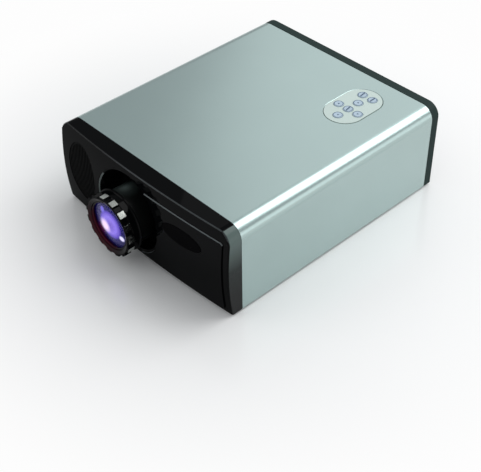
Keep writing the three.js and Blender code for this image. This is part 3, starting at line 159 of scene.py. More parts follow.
class ProjectorLens(bpy.types.PropertyGroup):
    """Sizes of the lens and its focus ring"""

    ring_radius: length("Ring radius", 31.9, "Radius over the grips")
    grip_rise: length("Grip rise", 2, "Height of a grip over the ring")
    grip_count: count("Grips", 15, "Number of grips")
    grip_share: plain("Grip share", 0.45, "Share of the pitch that a grip's land takes")
    grip_slope: length("Grip slope", 1.6, "Width of the slopes beside a land")
    grip_length: length("Grip length", 7.4, "Length of a grip from the front")
    first_grip: angle("First grip", math.radians(106), "Angle of the first grip")
    band_rise: length("Band rise", 0.7, "Height of the band behind the grips")
    rib: length("Rib", 1.6, "Width of the rib at the back")
    chamfer: length("Chamfer", 0.7, "Slopes between the ring's steps")
    lip_bore: length("Lip bore", 25.6, "Radius of the opening in the front lip")
    lip: length("Lip", 1.7, "Thickness of the front lip")
    lip_land: length("Lip land", 0.5, "Flat edge round the flared lip")
    ring_wall: length("Ring wall", 2, "Back wall of the ring")
    bell_radius: length("Bell radius", 27.6, "Radius of the barrel's widened front")
    bell_wall: length("Bell wall", 2.4, "Wall of the widened front")
    barrel_radius: length("Barrel radius", 24, "Radius of the barrel")
    barrel_wall: length("Barrel wall", 3.4, "Wall of the barrel")
    collar_radius: length("Collar radius", 28, "Radius of the collar that carries the barrel")
    flange_radius: length("Flange radius", 39, "Radius of the collar's flange")
    flange: length("Flange", 3, "Thickness of the collar's flange")
    running_gap: length("Running gap", 0.5, "Clearance between turning pieces")
    glass_rise: length("Glass rise", 3, "Height of the glass's dome")
    glass_edge: length("Glass edge", 4.6, "Thickness of both glasses at their edge")
    front_edge: length("Front glass edge", 1.4, "Thickness of the front glass at its edge")


class ProjectorKeypad(bpy.types.PropertyGroup):
    """Sizes of the keypad"""

    flange: length("Flange", 3, "Border of the plate under the shell")
    flange_thickness: length("Flange thickness", 1.5, "Thickness of that border")
    key_radius: length("Key radius", 5.1, "Radius of a key")
    key_edge: length("Key edge", 0.5, "Rounding of a key's top edge")
    ring_outer: length("Printed ring, outside", 4.6, "Outer radius of the printed ring")
    ring_inner: length("Printed ring, inside", 4.0, "Inner radius of the printed ring")
    dish: length("Dish", 0.25, "Depth of the hollow in a key's top")
    symbol: length("Symbol", 1.25, "Size of the printed symbol")
    print_rise: length("Print rise", 0.04, "Thickness of the print")


class ProjectorRear(bpy.types.PropertyGroup):
    """Sizes of the rear"""

    wall: length("Wall", 5, "Wall of the rear bezel")
    ledge: length("Ledge", 8, "Width of the ledge that carries the panel")
    ledge_thickness: length("Ledge thickness", 2, "Thickness of that ledge")
    edge: length("Edge", 1.2, "Rounding of the rear bezel")
    guard_hub: length("Guard hub", 8, "Radius of the guard's middle plate")
    guard_rings: count("Guard rings", 3, "Rings between hub and border")
    guard_border: length("Guard border", 3, "Width of the guard's border")
    hub_radius: length("Hub radius", 14, "Radius of the fan's hub")
    hub_cap: length("Hub cap", 7, "Depth of the bore in the hub")
    shaft: length("Shaft", 2.3, "Radius of that bore")
    blade_count: count("Blades", 7, "Number of fan blades")
    blade_radius: length("Blade radius", 36, "Radius at the blade tips")
    blade_chord: length("Blade chord", 11, "Width of a blade")
    blade: length("Blade thickness", 1.2, "Thickness of a blade")
    blade_pitch: angle("Blade pitch", math.radians(38), "Angle of the blades")
    socket_width: length("Socket width", 17, "Width of the computer socket's shell")
    socket_height: length("Socket height", 8.4, "Height of that shell")
    socket_slant: length("Socket slant", 1.4, "Slant of its ends")
    socket_corner: length("Socket corner", 1.3, "Rounding of its corners")
    socket_reach: length("Socket reach", 5, "Height of the shell over its plate")
    socket_plate: length("Socket plate", 1, "Thickness of that plate")
    socket_wall: length("Socket wall", 0.6, "Wall of the shell")
    contact_pitch: length("Contact pitch", 2.29, "Distance between the socket's holes")
    row_pitch: length("Row pitch", 1.98, "Distance between its rows of holes")
    contact: length("Contact", 0.5, "Radius of such a hole")
    post: length("Post", 2.4, "Radius of a post beside the socket")
    post_gap: length("Post gap", 1.6, "Distance between shell and post")
    screw_head: length("Screw head", 2.6, "Radius of a screw's head")
    screw_rise: length("Screw rise", 1.6, "Height of a screw's head")
    screw_shank: length("Screw shank", 1.2, "Radius of a screw's shank")
    screw_hole: length("Screw hole", 1.5, "Radius of the hole for a screw")
    mark: length("Mark", 1.7, "Size of the marks on the rocker")
    mark_line: length("Mark line", 0.45, "Width of their lines")


class ProjectorFinishes(bpy.types.PropertyGroup):
    """Colours of the finishes"""

    shell: colour("Shell", "#ADC0BE", "Anodised aluminium of the shell")
    gloss_black: colour("Gloss black", "#060708", "Polished black plastic")
    satin_black: colour("Satin black", "#0B0C0C", "Textured black plastic")
    dark_frame: colour("Dark frame", "#2C3A38", "Grey-green plastic of the rear bezel")
    # Painted highlights: the next three colours stand for light caught on edges of the black mouldings
    edge_highlight: colour("Rubbed edges", "#3A3F41", "Handled edges of the black mouldings")
    panel_edge: colour("Panel edge", "#8D9496", "Upper edge of the inlaid panel")
    rim: colour("Recess rim", "#6C7775", "Worn left rim of the lens recess")
    grip_plating: colour("Grip plating", "#B9BDB8", "Plating on the grips")
    window: colour("Window", "#020203", "Smoked acrylic")
    keypad: colour("Keypad plate", "#C9D9D4", "Painted plate round the keys")
    key: colour("Keys", "#AFC4D4", "Pale blue key tops")
    print_blue: colour("Key print", "#2E4668", "Blue print on the keys")
    glass: colour("Glass", "#F2EFFF", "Coated front glass")
    zinc: colour("Zinc", "#8F9698", "Zinc-plated sheet")
    nickel: colour("Nickel", "#A9ABAC", "Nickel plating")
    board: colour("Board", "#1E5B3A", "Solder resist")
    rubber: colour("Rubber", "#141414", "Rubber feet")
    floor: colour("Floor", "#F7F8F8", "Plain floor")


class ProjectorStage(bpy.types.PropertyGroup):
    """Camera and lights"""

    azimuth: angle("Azimuth", 0.8257, "Angle of the camera round the object")
    elevation: angle("Elevation", 0.7211, "Angle of the camera above the floor")
    roll: angle("Roll", -0.0137, "Tilt of the camera")
    distance: length("Distance", 1044.5, "Distance of the camera from its target")
    target: FloatVectorProperty(
        name="Target", description="Where the camera looks", default=(0.0461, -0.0444, 0.002), unit="LENGTH")
    lens: plain("Lens", 80.18, "Focal length in millimetres")
    world: plain("World", 0.58, "Brightness of the room")
    top_box: plain("Top box", 0.58, "Brightness of the box behind the object")
    edge_box: plain("Edge box", 2.9, "Brightness of the box over the right edge")
    side_box: plain("Side box", 1.0, "Brightness of the low box at the right")
    front_box: plain("Front box", 2.7, "Brightness of the box in front")


# Modelling helpers

# The axes as numbers and directions, and the turns that lay a primitive's Z along each
X, Y, Z = 0, 1, 2
AXES = (Vector((1, 0, 0)), Vector((0, 1, 0)), Vector((0, 0, 1)))
TO_AXIS = ((0, math.pi / 2, 0), (math.pi / 2, 0, 0), (0, 0, 0))


def start():
    """Leaves edit mode and deselects everything."""
    if bpy.context.object and bpy.context.object.mode != "OBJECT":
        bpy.ops.object.mode_set(mode="OBJECT")
    bpy.ops.object.select_all(action="DESELECT")


def hold(piece):
    """Makes a piece the only selected and the active one."""
    start()
    piece.select_set(True)
    bpy.context.view_layer.objects.active = piece


def edit(piece):
    """Opens a piece in edit mode with all of it selected."""
    hold(piece)
    bpy.ops.object.mode_set(mode="EDIT")
    bpy.ops.mesh.select_mode(type="VERT")
    bpy.ops.mesh.select_all(action="SELECT")


def pick(piece, kind, test):
    """Selects the vertices, edges or faces that pass a test, in edit mode."""
    bpy.ops.mesh.select_mode(type=kind)
    bpy.ops.mesh.select_all(action="DESELECT")
    mesh = bmesh.from_edit_mesh(piece.data)
    for element in {"VERT": mesh.verts, "EDGE": mesh.edges, "FACE": mesh.faces}[kind]:
        if test(element):
            element.select_set(True)
    mesh.select_flush_mode()
    bmesh.update_edit_mesh(piece.data)


def span(edge, axis):
    """How far an edge runs along an axis."""
    return abs(edge.verts[0].co[axis] - edge.verts[1].co[axis])


def creased(edge, least):
    """Whether two faces meet at an edge by more than an angle."""
    return len(edge.link_faces) == 2 and edge.calc_face_angle(0) > least


def rounded(piece, radius, segments, test):
    """Bevels the edges that pass a test."""
    edit(piece)
    pick(piece, "EDGE", test)
    bpy.ops.mesh.bevel(offset=radius, segments=segments, affect="EDGES")
    start()
    return piece


def settle(name):
    """Names the new piece and puts its place into its mesh."""
    start()
    piece = bpy.context.object
    hold(piece)
    piece.name = name
    bpy.ops.object.transform_apply(location=True, rotation=True, scale=True)
    return piece


def block(name, low, high):
    """A box between two corners."""
    low, high = Vector(low), Vector(high)
    start()
    bpy.ops.mesh.primitive_cube_add(size=1, location=(low + high) / 2, scale=high - low)
    return settle(name)


def rod(name, radius, place, low, high, axis=Y, sides=96, up=None):
    """A cylinder through a place from low to high along an axis, or an oval one with a second half size."""
    centre = Vector(place)
    centre[axis] = (low + high) / 2
    start()
    bpy.ops.mesh.primitive_cylinder_add(
        vertices=sides, radius=1, depth=high - low, location=centre, rotation=TO_AXIS[axis],
        scale=(radius, up or radius, 1))
    return settle(name)


def arch(name, inset, bottom, front, back, radius):
    """The cabinet's cross-section as a solid: sharp at the bottom and round at the top."""
    half, high = HALF_WIDTH - inset, TOP - inset
    piece = block(name, (-half, front, bottom), (half, back, high))
    return rounded(piece, radius, 14, lambda e: all(v.co.z > high - TOUCH for v in e.verts) and span(e, X) < TOUCH)


def across(case, x):
    """How far the face bows forward at a distance from its middle."""
    return case.bow_across * (1 - (x / HALF_WIDTH) ** 2)


def upward(case, z):
    """How far the face stands ahead of the joint at its sides at a height."""
    return case.edge_depth + case.bow_up * (1 - (2 * (z - BASE) / (TOP - BASE) - 1) ** 2)


def bowed(name, case, sunk, back_sunk, low, high, columns, rows):
    """A slab a little wider than a box. It follows the bowed face at one depth, and at another or flat behind."""
    left, right, bottom, top = low[X] - OVERRUN, high[X] + OVERRUN, low[Z] - OVERRUN, high[Z] + OVERRUN
    centre = ((left + right) / 2, JOINT, (bottom + top) / 2)
    start()
    bpy.ops.mesh.primitive_grid_add(
        x_subdivisions=columns, y_subdivisions=rows, size=1, location=centre, rotation=TO_AXIS[Y])
    piece = settle(name)
    edit(piece)
    bpy.ops.transform.resize(value=(right - left, 1, top - bottom), center_override=centre)
    for i in range(columns + 1):
        x = left + (right - left) * i / columns
        pick(piece, "VERT", lambda v: abs(v.co.x - x) < TOUCH)
        bpy.ops.transform.translate(value=(0, -across(case, x), 0))
    for i in range(rows + 1):
        z = bottom + (top - bottom) * i / rows
        pick(piece, "VERT", lambda v: abs(v.co.z - z) < TOUCH)
        bpy.ops.transform.translate(value=(0, sunk - upward(case, z), 0))
    bpy.ops.mesh.select_all(action="SELECT")
    if back_sunk is None:
        bpy.ops.mesh.extrude_region_move()
        bpy.ops.transform.resize(value=(1, 0, 1), center_override=(0, JOINT, 0))
    else:
        bpy.ops.mesh.extrude_region_move(TRANSFORM_OT_translate={"value": (0, back_sunk - sunk, 0)})
    bpy.ops.mesh.select_all(action="SELECT")
    bpy.ops.mesh.normals_make_consistent(inside=False)
    start()
    return piece


def turned(name, profile, centre, axis=Y, steps=96):
    """Spins pairs of radius and place along an axis. The pairs end on the axis, or the last joins the first."""
    base = Vector(centre)
    base[axis] = 0
    points = [base + AXES[X] * radius + AXES[axis] * place for radius, place in profile]
    if profile[0][0] > TOUCH:
        points.append(points[0])
    start()
    bpy.ops.mesh.primitive_plane_add(size=MM, location=points[0])
    edit(bpy.context.object)
    bpy.ops.mesh.merge(type="CENTER")
    for before, after in zip(points, points[1:]):
        bpy.ops.mesh.extrude_region_move(TRANSFORM_OT_translate={"value": after - before})
    bpy.ops.mesh.select_all(action="SELECT")
    bpy.ops.mesh.spin(steps=steps, angle=TURN, center=base, axis=AXES[axis])
    bpy.ops.mesh.select_all(action="SELECT")
    bpy.ops.mesh.remove_doubles(threshold=TOUCH)
    bpy.ops.mesh.normals_make_consistent(inside=False)
    return settle(name)


def apply_modifier(piece, kind, **settings):
    """Adds a modifier and applies it."""
    hold(piece)
    modifier = piece.modifiers.new(kind, kind)
    for name, value in settings.items():
        setattr(modifier, name, value)
    bpy.ops.object.modifier_apply(modifier=modifier.name)


def combine(piece, operation, *tools):
    """Cuts, joins or intersects a piece with others, which are used up."""
    for tool in tools:
        before = piece.data.copy()
        # A mesh with a faulty spot can come out empty, and then the more tolerant ways are tried
        for way in ({}, {"use_hole_tolerant": True}, {"use_self": True, "use_hole_tolerant": True}):
            apply_modifier(piece, "BOOLEAN", operation=operation, solver="EXACT", object=tool, **way)
            if piece.data.vertices:
                break
            piece.data = before.copy()
        else:
            raise RuntimeError(f"{piece.name} came out empty")
        bpy.data.meshes.remove(before)
        bpy.data.objects.remove(tool)
    return piece


def turn_round(piece, turn, centre, axis=Y):
    """Turns a piece about an axis through a point."""
    hold(piece)
    bpy.ops.transform.rotate(value=turn, orient_axis="XYZ"[axis], center_override=centre)
    return settle(piece.name)


def twin(piece, name, shift=(0, 0, 0)):
    """A moved copy with its own mesh."""
    hold(piece)
    bpy.ops.object.duplicate(linked=False)
    bpy.ops.transform.translate(value=shift)
    return settle(name)


def gather(pieces, name):
    """Joins several pieces into one object."""
    start()
    for piece in pieces:
        piece.select_set(True)
    bpy.context.view_layer.objects.active = pieces[0]
    bpy.ops.object.join()
    pieces[0].name = name
    return pieces[0]


def row(piece, number, shift, name):
    """Equal steps of a piece, joined."""
    copies = [twin(piece, f"{name}_{i}", Vector(shift) * i) for i in range(1, number)]
    return gather([piece, *copies], name)


def around(piece, number, centre):
    """Copies of a piece all round an axis along Y, joined."""
    copies = [turn_round(twin(piece, f"{piece.name}_{i}"), TURN * i / number, centre) for i in range(1, number)]
    return gather([piece, *copies], piece.name)


def clean(piece):
    """Merges a piece's doubles and turns its faces outwards, in edit mode."""
    edit(piece)
    bpy.ops.mesh.remove_doubles(threshold=TOUCH)
    bpy.ops.mesh.normals_make_consistent(inside=False)


def soften(piece, width, segments=2, turn=40):
    """Rounds the sharp edges of a piece by some millimetres and smooths the rest."""
    clean(piece)
    if width:
        apply_modifier(
            piece, "BEVEL", width=width * MM, segments=segments, limit_method="ANGLE",
            angle_limit=math.radians(turn), use_clamp_overlap=True)
    hold(piece)
    bpy.ops.object.shade_smooth_by_angle(angle=math.radians(turn))
    apply_modifier(piece, "WEIGHTED_NORMAL", keep_sharp=True)


def paint(piece, finishes, *tests):
    """Gives a piece its first finish, and the faces that pass each test the next ones."""
    for finish in finishes:
        piece.data.materials.append(material(finish))
    edit(piece)
    for index, test in enumerate(tests, 1):
        pick(piece, "FACE", test)
        piece.active_material_index = index
        bpy.ops.object.material_slot_assign()
    start()


def hang(piece, body, nodes, slot, *finishes):
    """Gives a piece its finish, where it has none, and its place among the bodies."""
    for finish in finishes:
        piece.data.materials.append(material(finish))
    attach(piece, body)
    if nodes:
        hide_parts(*nodes)


# Finishes

def add_node(tree, kind, inputs=None, out=0, stops=(), **settings):
    """Adds a node with its settings, its inputs as values or links and a ramp's stops, and gives an output."""
    node = tree.nodes.new(kind)
    for name, value in settings.items():
        setattr(node, name, value)
    for key, value in (inputs or {}).items():
        if isinstance(value, bpy.types.NodeSocket):
            tree.links.new(value, node.inputs[key])
        else:
            node.inputs[key].default_value = value
    if stops:
        elements = node.color_ramp.elements
        while len(elements) < len(stops):
            elements.new(0.5)
        for element, (position, tone) in zip(elements, stops):
            element.position = position
            element.color = linear(tone) if isinstance(tone, str) else tone
    return node.outputs[out]


def shade(tone, factor):
    """A darker or lighter tone."""
    return [min(1, v * factor) for v in tone[:3]] + [1]


Finish = namedtuple("Finish", "material tree shader place")


def surface(name, **inputs):
    """A new finish: its material and tree, its shader's inputs and its object coordinates."""
    made = bpy.data.materials.new(name)
    made.use_nodes = True
    shader = made.node_tree.nodes["Principled BSDF"].inputs
    for key, value in inputs.items():
        shader[key.replace("_", " ")].default_value = value
    return Finish(made, made.node_tree, shader, add_node(made.node_tree, "ShaderNodeTexCoord", out="Object"))


def vary(finish, cell, tone=None, rough=None, bump=None, out="Fac", kind="ShaderNodeTexNoise", **options):
    """Lets a pattern with cells of some millimetres vary a finish: its colour between two tones, its roughness
    between two values from a level on, or its relief by a strength and a height in millimetres. Options that
    start with a capital are inputs of the pattern's node, and the others are its settings."""
    tree, shader = finish.tree, finish.shader
    inputs = {key.replace("_", " "): value for key, value in options.items() if key[0].isupper()}
    settings = {key: value for key, value in options.items() if key[0].islower()}
    cells = add_node(tree, kind, {"Vector": finish.place, "Scale": 1 / (cell * MM), **inputs}, out, **settings)
    if tone:
        tint(finish, cells, [*enumerate(tone)])
    elif out == "Color":
        tree.links.new(cells, shader["Base Color"])
    if rough:
        least, most, level = (*rough, 0)[:3]
        matt = add_node(
            tree, "ShaderNodeMapRange", {"Value": cells, "From Min": level, "To Min": least, "To Max": most})
        tree.links.new(matt, shader["Roughness"])
    if bump:
        relief = add_node(
            tree, "ShaderNodeBump", {"Height": cells, "Strength": bump[0], "Distance": bump[1] * MM})
        tree.links.new(relief, shader["Normal"])
    return finish


def along(tree, place, direction, first, last, least=0):
    """A level that grows to 1 along a direction, between two distances in millimetres."""
    far = add_node(tree, "ShaderNodeVectorMath", {0: place, 1: direction}, "Value", operation="DOT_PRODUCT")
    return add_node(
        tree, "ShaderNodeMapRange", {"Value": far, "From Min": first * MM, "From Max": last * MM, "To Min": least})


def from_line(tree, place, x, z):
    """The distance of a point from a line along Y."""
    moved = add_node(tree, "ShaderNodeVectorMath", {0: place, 1: (-x * MM, 0, -z * MM)}, operation="ADD")
    level = add_node(tree, "ShaderNodeVectorMath", {0: moved, 1: (1, 0, 1)}, operation="MULTIPLY")
    return add_node(tree, "ShaderNodeVectorMath", {0: level}, "Value", operation="LENGTH")


def on_lens_axis(finish):
    """Object coordinates about the lens axis."""
    return add_node(
        finish.tree, "ShaderNodeMapping", {"Vector": finish.place, "Location": (-LENS.x, 0, -LENS.z)})


def tint(finish, level, stops):
    """Colours a finish by a level."""
    shown = add_node(finish.tree, "ShaderNodeValToRGB", {"Fac": level}, stops=stops)
    finish.tree.links.new(shown, finish.shader["Base Color"])
    return finish


def semi_gloss_abs(c):
    """ABS from the less polished sides of the tool: a greyer sheen, with a painted reflection that turns it paler
    towards the top and the right.
    """
    finish = surface("semi_gloss_black_abs", IOR=1.53, Specular_IOR_Level=0.16)
    vary(finish, 5, rough=(0.14, 0.26), Detail=3)
    # Painted reflection: near black low down, paler grey-green towards the top and the right
    level = along(finish.tree, finish.place, (1, 0, 1), 145, 205)
    return tint(finish, level, [(0, "#060708"), (0.5, "#1C2423"), (1, "#5C6B68")])


def textured_plastic(name, tone, roughness, shine=0.2):
    """Plastic moulded against a spark-eroded tool: a leathery grain that dulls the sheen. The real grain is about
    0.2 mm wide and too fine to show, so it is drawn coarser."""
    finish = surface(
        name, Roughness=roughness, IOR=1.53, Specular_IOR_Level=0, Coat_Weight=shine, Coat_Roughness=roughness)
    vary(finish, 0.6, bump=(0.25, 0.05), out="Distance", kind="ShaderNodeTexVoronoi", feature="SMOOTH_F1")
    return vary(finish, 14, tone=(shade(tone, 0.85), shade(tone, 1.1)), Detail=3)


def highlighted_edges(name, edge_highlight, dimmest=-1000, brightest=-900):
    """Edges of the black mouldings, a little duller and paler as a painted highlight, which grows from one place
    along X to another.
    """
    finish = surface(name, Roughness=0.3, IOR=1.53, Specular_IOR_Level=0.2)
    vary(finish, 6, tone=(shade(edge_highlight, 0.6), edge_highlight), Detail=4)
    tone = finish.shader["Base Color"].links[0].from_socket
    # The painted highlight is dimmed to 0.12 of its colour at the first place and is full at the second
    share = along(finish.tree, finish.place, AXES[X], dimmest, brightest, 0.12)
    shown = add_node(finish.tree, "ShaderNodeVectorMath", {0: tone, "Scale": share}, operation="SCALE")
    finish.tree.links.new(shown, finish.shader["Base Color"])
    return finish


def painted_wine_glow(name, near, far):
    """Polished black round the coated glass, with the wine-red light that the glass throws on its lower left painted
    into its colour.
    """
    finish = surface(name, Roughness=0.2, IOR=1.53, Specular_IOR_Level=0.08)
    # Painted reflected light: wine-red at the lower left of the lens axis, fading to black
    level = along(finish.tree, on_lens_axis(finish), (1, 0, 1), -38, 12)
    return tint(finish, level, [(0, near), (0.3, far), (0.6, "#0C0608"), (1, "#060405")])


def satin_collar(c):
    """Satin black paint with a painted soft highlight, grey-green at the upper left behind the focus ring."""
    finish = surface(
        "satin_black_paint", Roughness=0.35, IOR=1.53, Specular_IOR_Level=0, Coat_Weight=0.7, Coat_Roughness=0.35)
    # Painted highlight: paler grey-green within 15 mm of this point, fading to black
    brightest = (LENS.x - 5.5 * MM, JOINT - 17 * MM, LENS.z + 27.4 * MM)
    far = add_node(
        finish.tree, "ShaderNodeVectorMath", {0: finish.place, 1: brightest}, "Value", operation="DISTANCE")
    level = add_node(finish.tree, "ShaderNodeMapRange", {"Value": far, "From Max": 15 * MM})
    return tint(finish, level, [(0, "#5A6664"), (0.5, "#2A3130"), (1, "#070909")])


def inner_glass_painted_reflections(c):
    """Second glass, glowing with painted reflections: navy at the rim, lavender inside, wine-pink low on the left, a
    pink-white hot spot, a white highlight and a lavender patch.
    """
    finish = surface(
        "inner_glass_painted_reflections", Base_Color=linear("#0A0828"), Roughness=0.1, Specular_IOR_Level=0.1,
        Emission_Strength=1.15)
    tree, whole = finish.tree, on_lens_axis(finish)
    rim = add_node(tree, "ShaderNodeMapRange", {"Value": from_line(tree, whole, 1, 1), "From Max": 25 * MM})
    rings = [(0, "#6E57BC"), (0.35, "#8E7ADB"), (0.53, "#5A46B4"), (0.62, "#150F55"), (1, "#070628")]
    shown = add_node(tree, "ShaderNodeValToRGB", {"Fac": rim}, stops=rings)
    # Painted highlights and glows, each a colour that fades out between two radii about a point
    for x, z, inner, outer, tone in (
        (-14, -12, 1, 9, "#4A0A30"), (-10, 13, 2, 4, "#6A62C8"), (16, -7.5, 1.8, 4, "#E6E6FF"),
        (-6.5, -3.5, 2.5, 9.5, "#FFE6F2"),
    ):
        inputs = {"Value": from_line(tree, whole, x, z), "From Min": inner * MM, "From Max": outer * MM}
        near = add_node(tree, "ShaderNodeMapRange", inputs, interpolation_type="SMOOTHSTEP")
        inputs = {"Factor": near, "A": linear(tone), "B": shown}
        shown = add_node(tree, "ShaderNodeMix", inputs, "Result", data_type="RGBA")
    # Painted light: the pattern glows through the emission
    tree.links.new(shown, finish.shader["Emission Color"])
    return finish


def studio_floor(c):
    """A plain pale board with a soft polish, lit near the object and plain white to the eye further out."""
    finish = surface("pale_floor", Roughness=0.2, IOR=1.6)
    tree = finish.tree
    vary(finish, 1000 / 1.5, tone=(shade(c.floor, 0.99), c.floor), Detail=2)
    far = add_node(tree, "ShaderNodeVectorMath", {0: finish.place}, "Value", operation="LENGTH")
    share = {"Value": far, "From Min": 140 * MM, "From Max": 400 * MM}
    share = add_node(tree, "ShaderNodeMapRange", share, interpolation_type="SMOOTHSTEP")
    path = add_node(tree, "ShaderNodeLightPath").node.outputs
    mirrored = {0: path["Is Glossy Ray"], 1: path["Is Transmission Ray"]}
    seen = {0: path["Is Camera Ray"], 1: add_node(tree, "ShaderNodeMath", mirrored, operation="MAXIMUM")}
    factor = {0: share, 1: add_node(tree, "ShaderNodeMath", seen, operation="MAXIMUM")}
    white = add_node(tree, "ShaderNodeEmission", {"Color": linear("#FFFFFF"), "Strength": 0.985})
    both = add_node(tree, "ShaderNodeMixShader", {
        "Fac": add_node(tree, "ShaderNodeMath", factor, operation="MULTIPLY"),
        1: tree.nodes["Principled BSDF"].outputs["BSDF"], 2: white})
    tree.links.new(both, tree.nodes["Material Output"].inputs["Surface"])
    return finish


def plain_plastic(name, code):
    """Dyed ABS from a plain tool: even colour with faint flow marks."""
    finish = surface(name, Roughness=0.35, IOR=1.53)
    return vary(finish, 3, tone=(shade(linear(code), 0.88), code), Detail=3)


FINISHES = {
    # Bead-blasted and clear-anodised sheet: a soft sheen with a very fine grain, and no brush lines. The real grain
    # is about 0.1 mm wide and too fine to show, so it is drawn coarser
    "shell": lambda c: vary(
        vary(surface("anodised_aluminium_sheet", Metallic=1), 60, tone=(shade(c.shell, 0.94), c.shell), Detail=2),
        0.9, rough=(0.25, 0.28), bump=(0.03, 0.008), Detail=3),
    # ABS moulded against a polished tool: deep gloss with a faint ripple and a little dust
    "gloss": lambda c: vary(
        vary(surface("polished_black_abs", Base_Color=c.gloss_black, IOR=1.53, Specular_IOR_Level=0,
                     Coat_Weight=0.12), 9, bump=(0.05, 0.05), Detail=1),
        0.8, rough=(0.3, 0.5, 0.45), Detail=4),
    "sides": semi_gloss_abs,
    "satin": lambda c: textured_plastic("textured_black_abs", c.satin_black, 0.45, 0.1),
    "frame": lambda c: textured_plastic("textured_grey_green_abs", c.dark_frame, 0.4, 0.15),
    "nylon": lambda c: textured_plastic("black_nylon", linear("#121314"), 0.55),
    "cone": lambda c: textured_plastic("pressed_paper_pulp", linear("#3A2226"), 0.9),
    # Painted highlights on edges that catch the light: the bezel's ridge, the panel's upper edge and the recess's
    # left rim
    "edges": lambda c: highlighted_edges("black_edges_painted_highlight", c.edge_highlight, -60, -5),
    "bright_edges": lambda c: highlighted_edges("panel_edge_painted_highlight", c.panel_edge),
    "rim": lambda c: highlighted_edges("recess_rim_painted_highlight", c.rim),
    # Polished black with a painted wine-red glow from the coated glass, on the lip and in the barrel's mouth
    "lip": lambda c: painted_wine_glow("polished_black_lip_painted_wine_glow", "#380A15", "#200810"),
    "mouth": lambda c: painted_wine_glow("polished_black_mouth_painted_wine_glow", "#521226", "#3A0E1C"),
    "collar": satin_collar,
    "inner_glass": inner_glass_painted_reflections,
    "floor": studio_floor,
    "yellow": lambda c: plain_plastic("yellow_abs", "#E5B92B"),
    "white": lambda c: plain_plastic("white_abs", "#E9E9E7"),
    "red": lambda c: plain_plastic("red_abs", "#B3262B"),
    # Chrome plating on the grips: a mirror that is slightly softened by handling
    "grips": lambda c: vary(
        surface("chrome_plated_grips", Base_Color=c.grip_plating, Metallic=1), 5, rough=(0.08, 0.22), Detail=4),
    # Cast acrylic dyed almost black: a clean wet-looking surface with fine swirl marks
    "window": lambda c: vary(
        surface("smoked_acrylic", Base_Color=c.window, Specular_IOR_Level=0, Coat_Weight=0.04, Coat_Roughness=0.04),
        2, rough=(0.03, 0.08), Detail=5),
    # Plastic sprayed with silver paint: metal flakes under a soft clear coat, drawn coarser than real ones to show
    "plate": lambda c: vary(
        surface("silver_painted_plastic", Metallic=0.35, Roughness=0.42),
        0.35, tone=(c.keypad, shade(c.keypad, 0.9)), out="Distance", kind="ShaderNodeTexVoronoi"),
    # Pale blue polycarbonate keys: satin from touch
    "key": lambda c: vary(
        surface("pale_blue_polycarbonate", IOR=1.58),
        3, tone=(shade(c.key, 0.95), c.key), rough=(0.28, 0.42), Detail=3),
    # Blue pad-printed ink: flat and slightly uneven where the pad lifted
    "ink": lambda c: vary(
        surface("blue_printed_ink"), 0.8, tone=(shade(c.print_blue, 0.8), shade(c.print_blue, 1.15)), Detail=2),
    # Crown glass with a coating against glare, which the low index stands for, and a little dust
    "front_glass": lambda c: vary(
        surface("coated_front_glass", Base_Color=c.glass, IOR=1.12, Transmission_Weight=1,
                Specular_Tint=linear("#8F7BFF")),
        1.2, rough=(0, 0.006, 0.6), Detail=5),
    # Hot-dip galvanised sheet: spangled crystals a few millimetres across
    "zinc": lambda c: vary(
        surface("galvanised_steel_sheet", Metallic=0.9, Roughness=0.4),
        6, tone=(shade(c.zinc, 0.8), shade(c.zinc, 1.15)), out="Color", kind="ShaderNodeTexVoronoi"),
    # Bright nickel plating: fine tumbling marks
    "nickel": lambda c: vary(
        surface("bright_nickel_plate", Base_Color=c.nickel, Metallic=1), 0.7, rough=(0.16, 0.34), Detail=4),
    # Plain extruded aluminium: fine die lines along the profile
    "aluminium": lambda c: vary(
        surface("extruded_aluminium", Metallic=1, Roughness=0.35),
        4, tone=("#B5B8BA", "#CDD0D2"), kind="ShaderNodeTexWave", Distortion=2, bands_direction="X"),
    # Glass-fibre board under green solder resist: copper tracks show as paler lines
    "board": lambda c: vary(
        surface("glass_fibre_board", Roughness=0.35, IOR=1.55), 14, out="Color", kind="ShaderNodeTexBrick",
        Mortar_Size=0.03, Color1=c.board, Color2=shade(c.board, 0.85), Mortar=linear("#3E8A5E")),
    # Vulcanised rubber: matt, with a dusty grain
    "rubber": lambda c: vary(
        surface("vulcanised_rubber", Base_Color=c.rubber, Roughness=0.85), 0.5, bump=(0.3, 0.05), Detail=4),
    # Enamelled copper wire in close turns: rows of round wire about a millimetre thick
    "copper": lambda c: vary(
        surface("enamelled_copper_wire", Metallic=0.9, Roughness=0.35),
        6.3, tone=("#5C2F16", "#C47A45"), kind="ShaderNodeTexWave", bands_direction="Z"),
    # Clear acrylic with moulded grooves, drawn coarser than the real ones, which are too fine to show
    "acrylic": lambda c: vary(
        surface("clear_grooved_acrylic", Base_Color=linear("#E6ECEF"), Roughness=0.05, IOR=1.49,
                Transmission_Weight=0.9),
        3, bump=(0.2, 0.1), kind="ShaderNodeTexWave", wave_type="RINGS"),
}
made_finishes = {}


def material(name):
    """The material of a finish, made when it is first asked for."""
    if name not in made_finishes:
        made_finishes[name] = FINISHES[name](bpy.context.scene.projector_finishes).material
    return made_finishes[name]


# Outlines that several pieces share

def obround(name, half_width, half_length, low, high):
    """A solid with two straight sides along Y and half-round ends, about the middle of the keypad."""
    centre = middle_of("keypad_plate")
    piece = rod(name, half_width, centre, low, high, Z)
    edit(piece)
    for side in (1, -1):
        pick(piece, "VERT", lambda v: side * (v.co.y - centre.y) > TOUCH)
        bpy.ops.transform.translate(value=(0, side * (half_length - half_width), 0))
    start()
    return piece


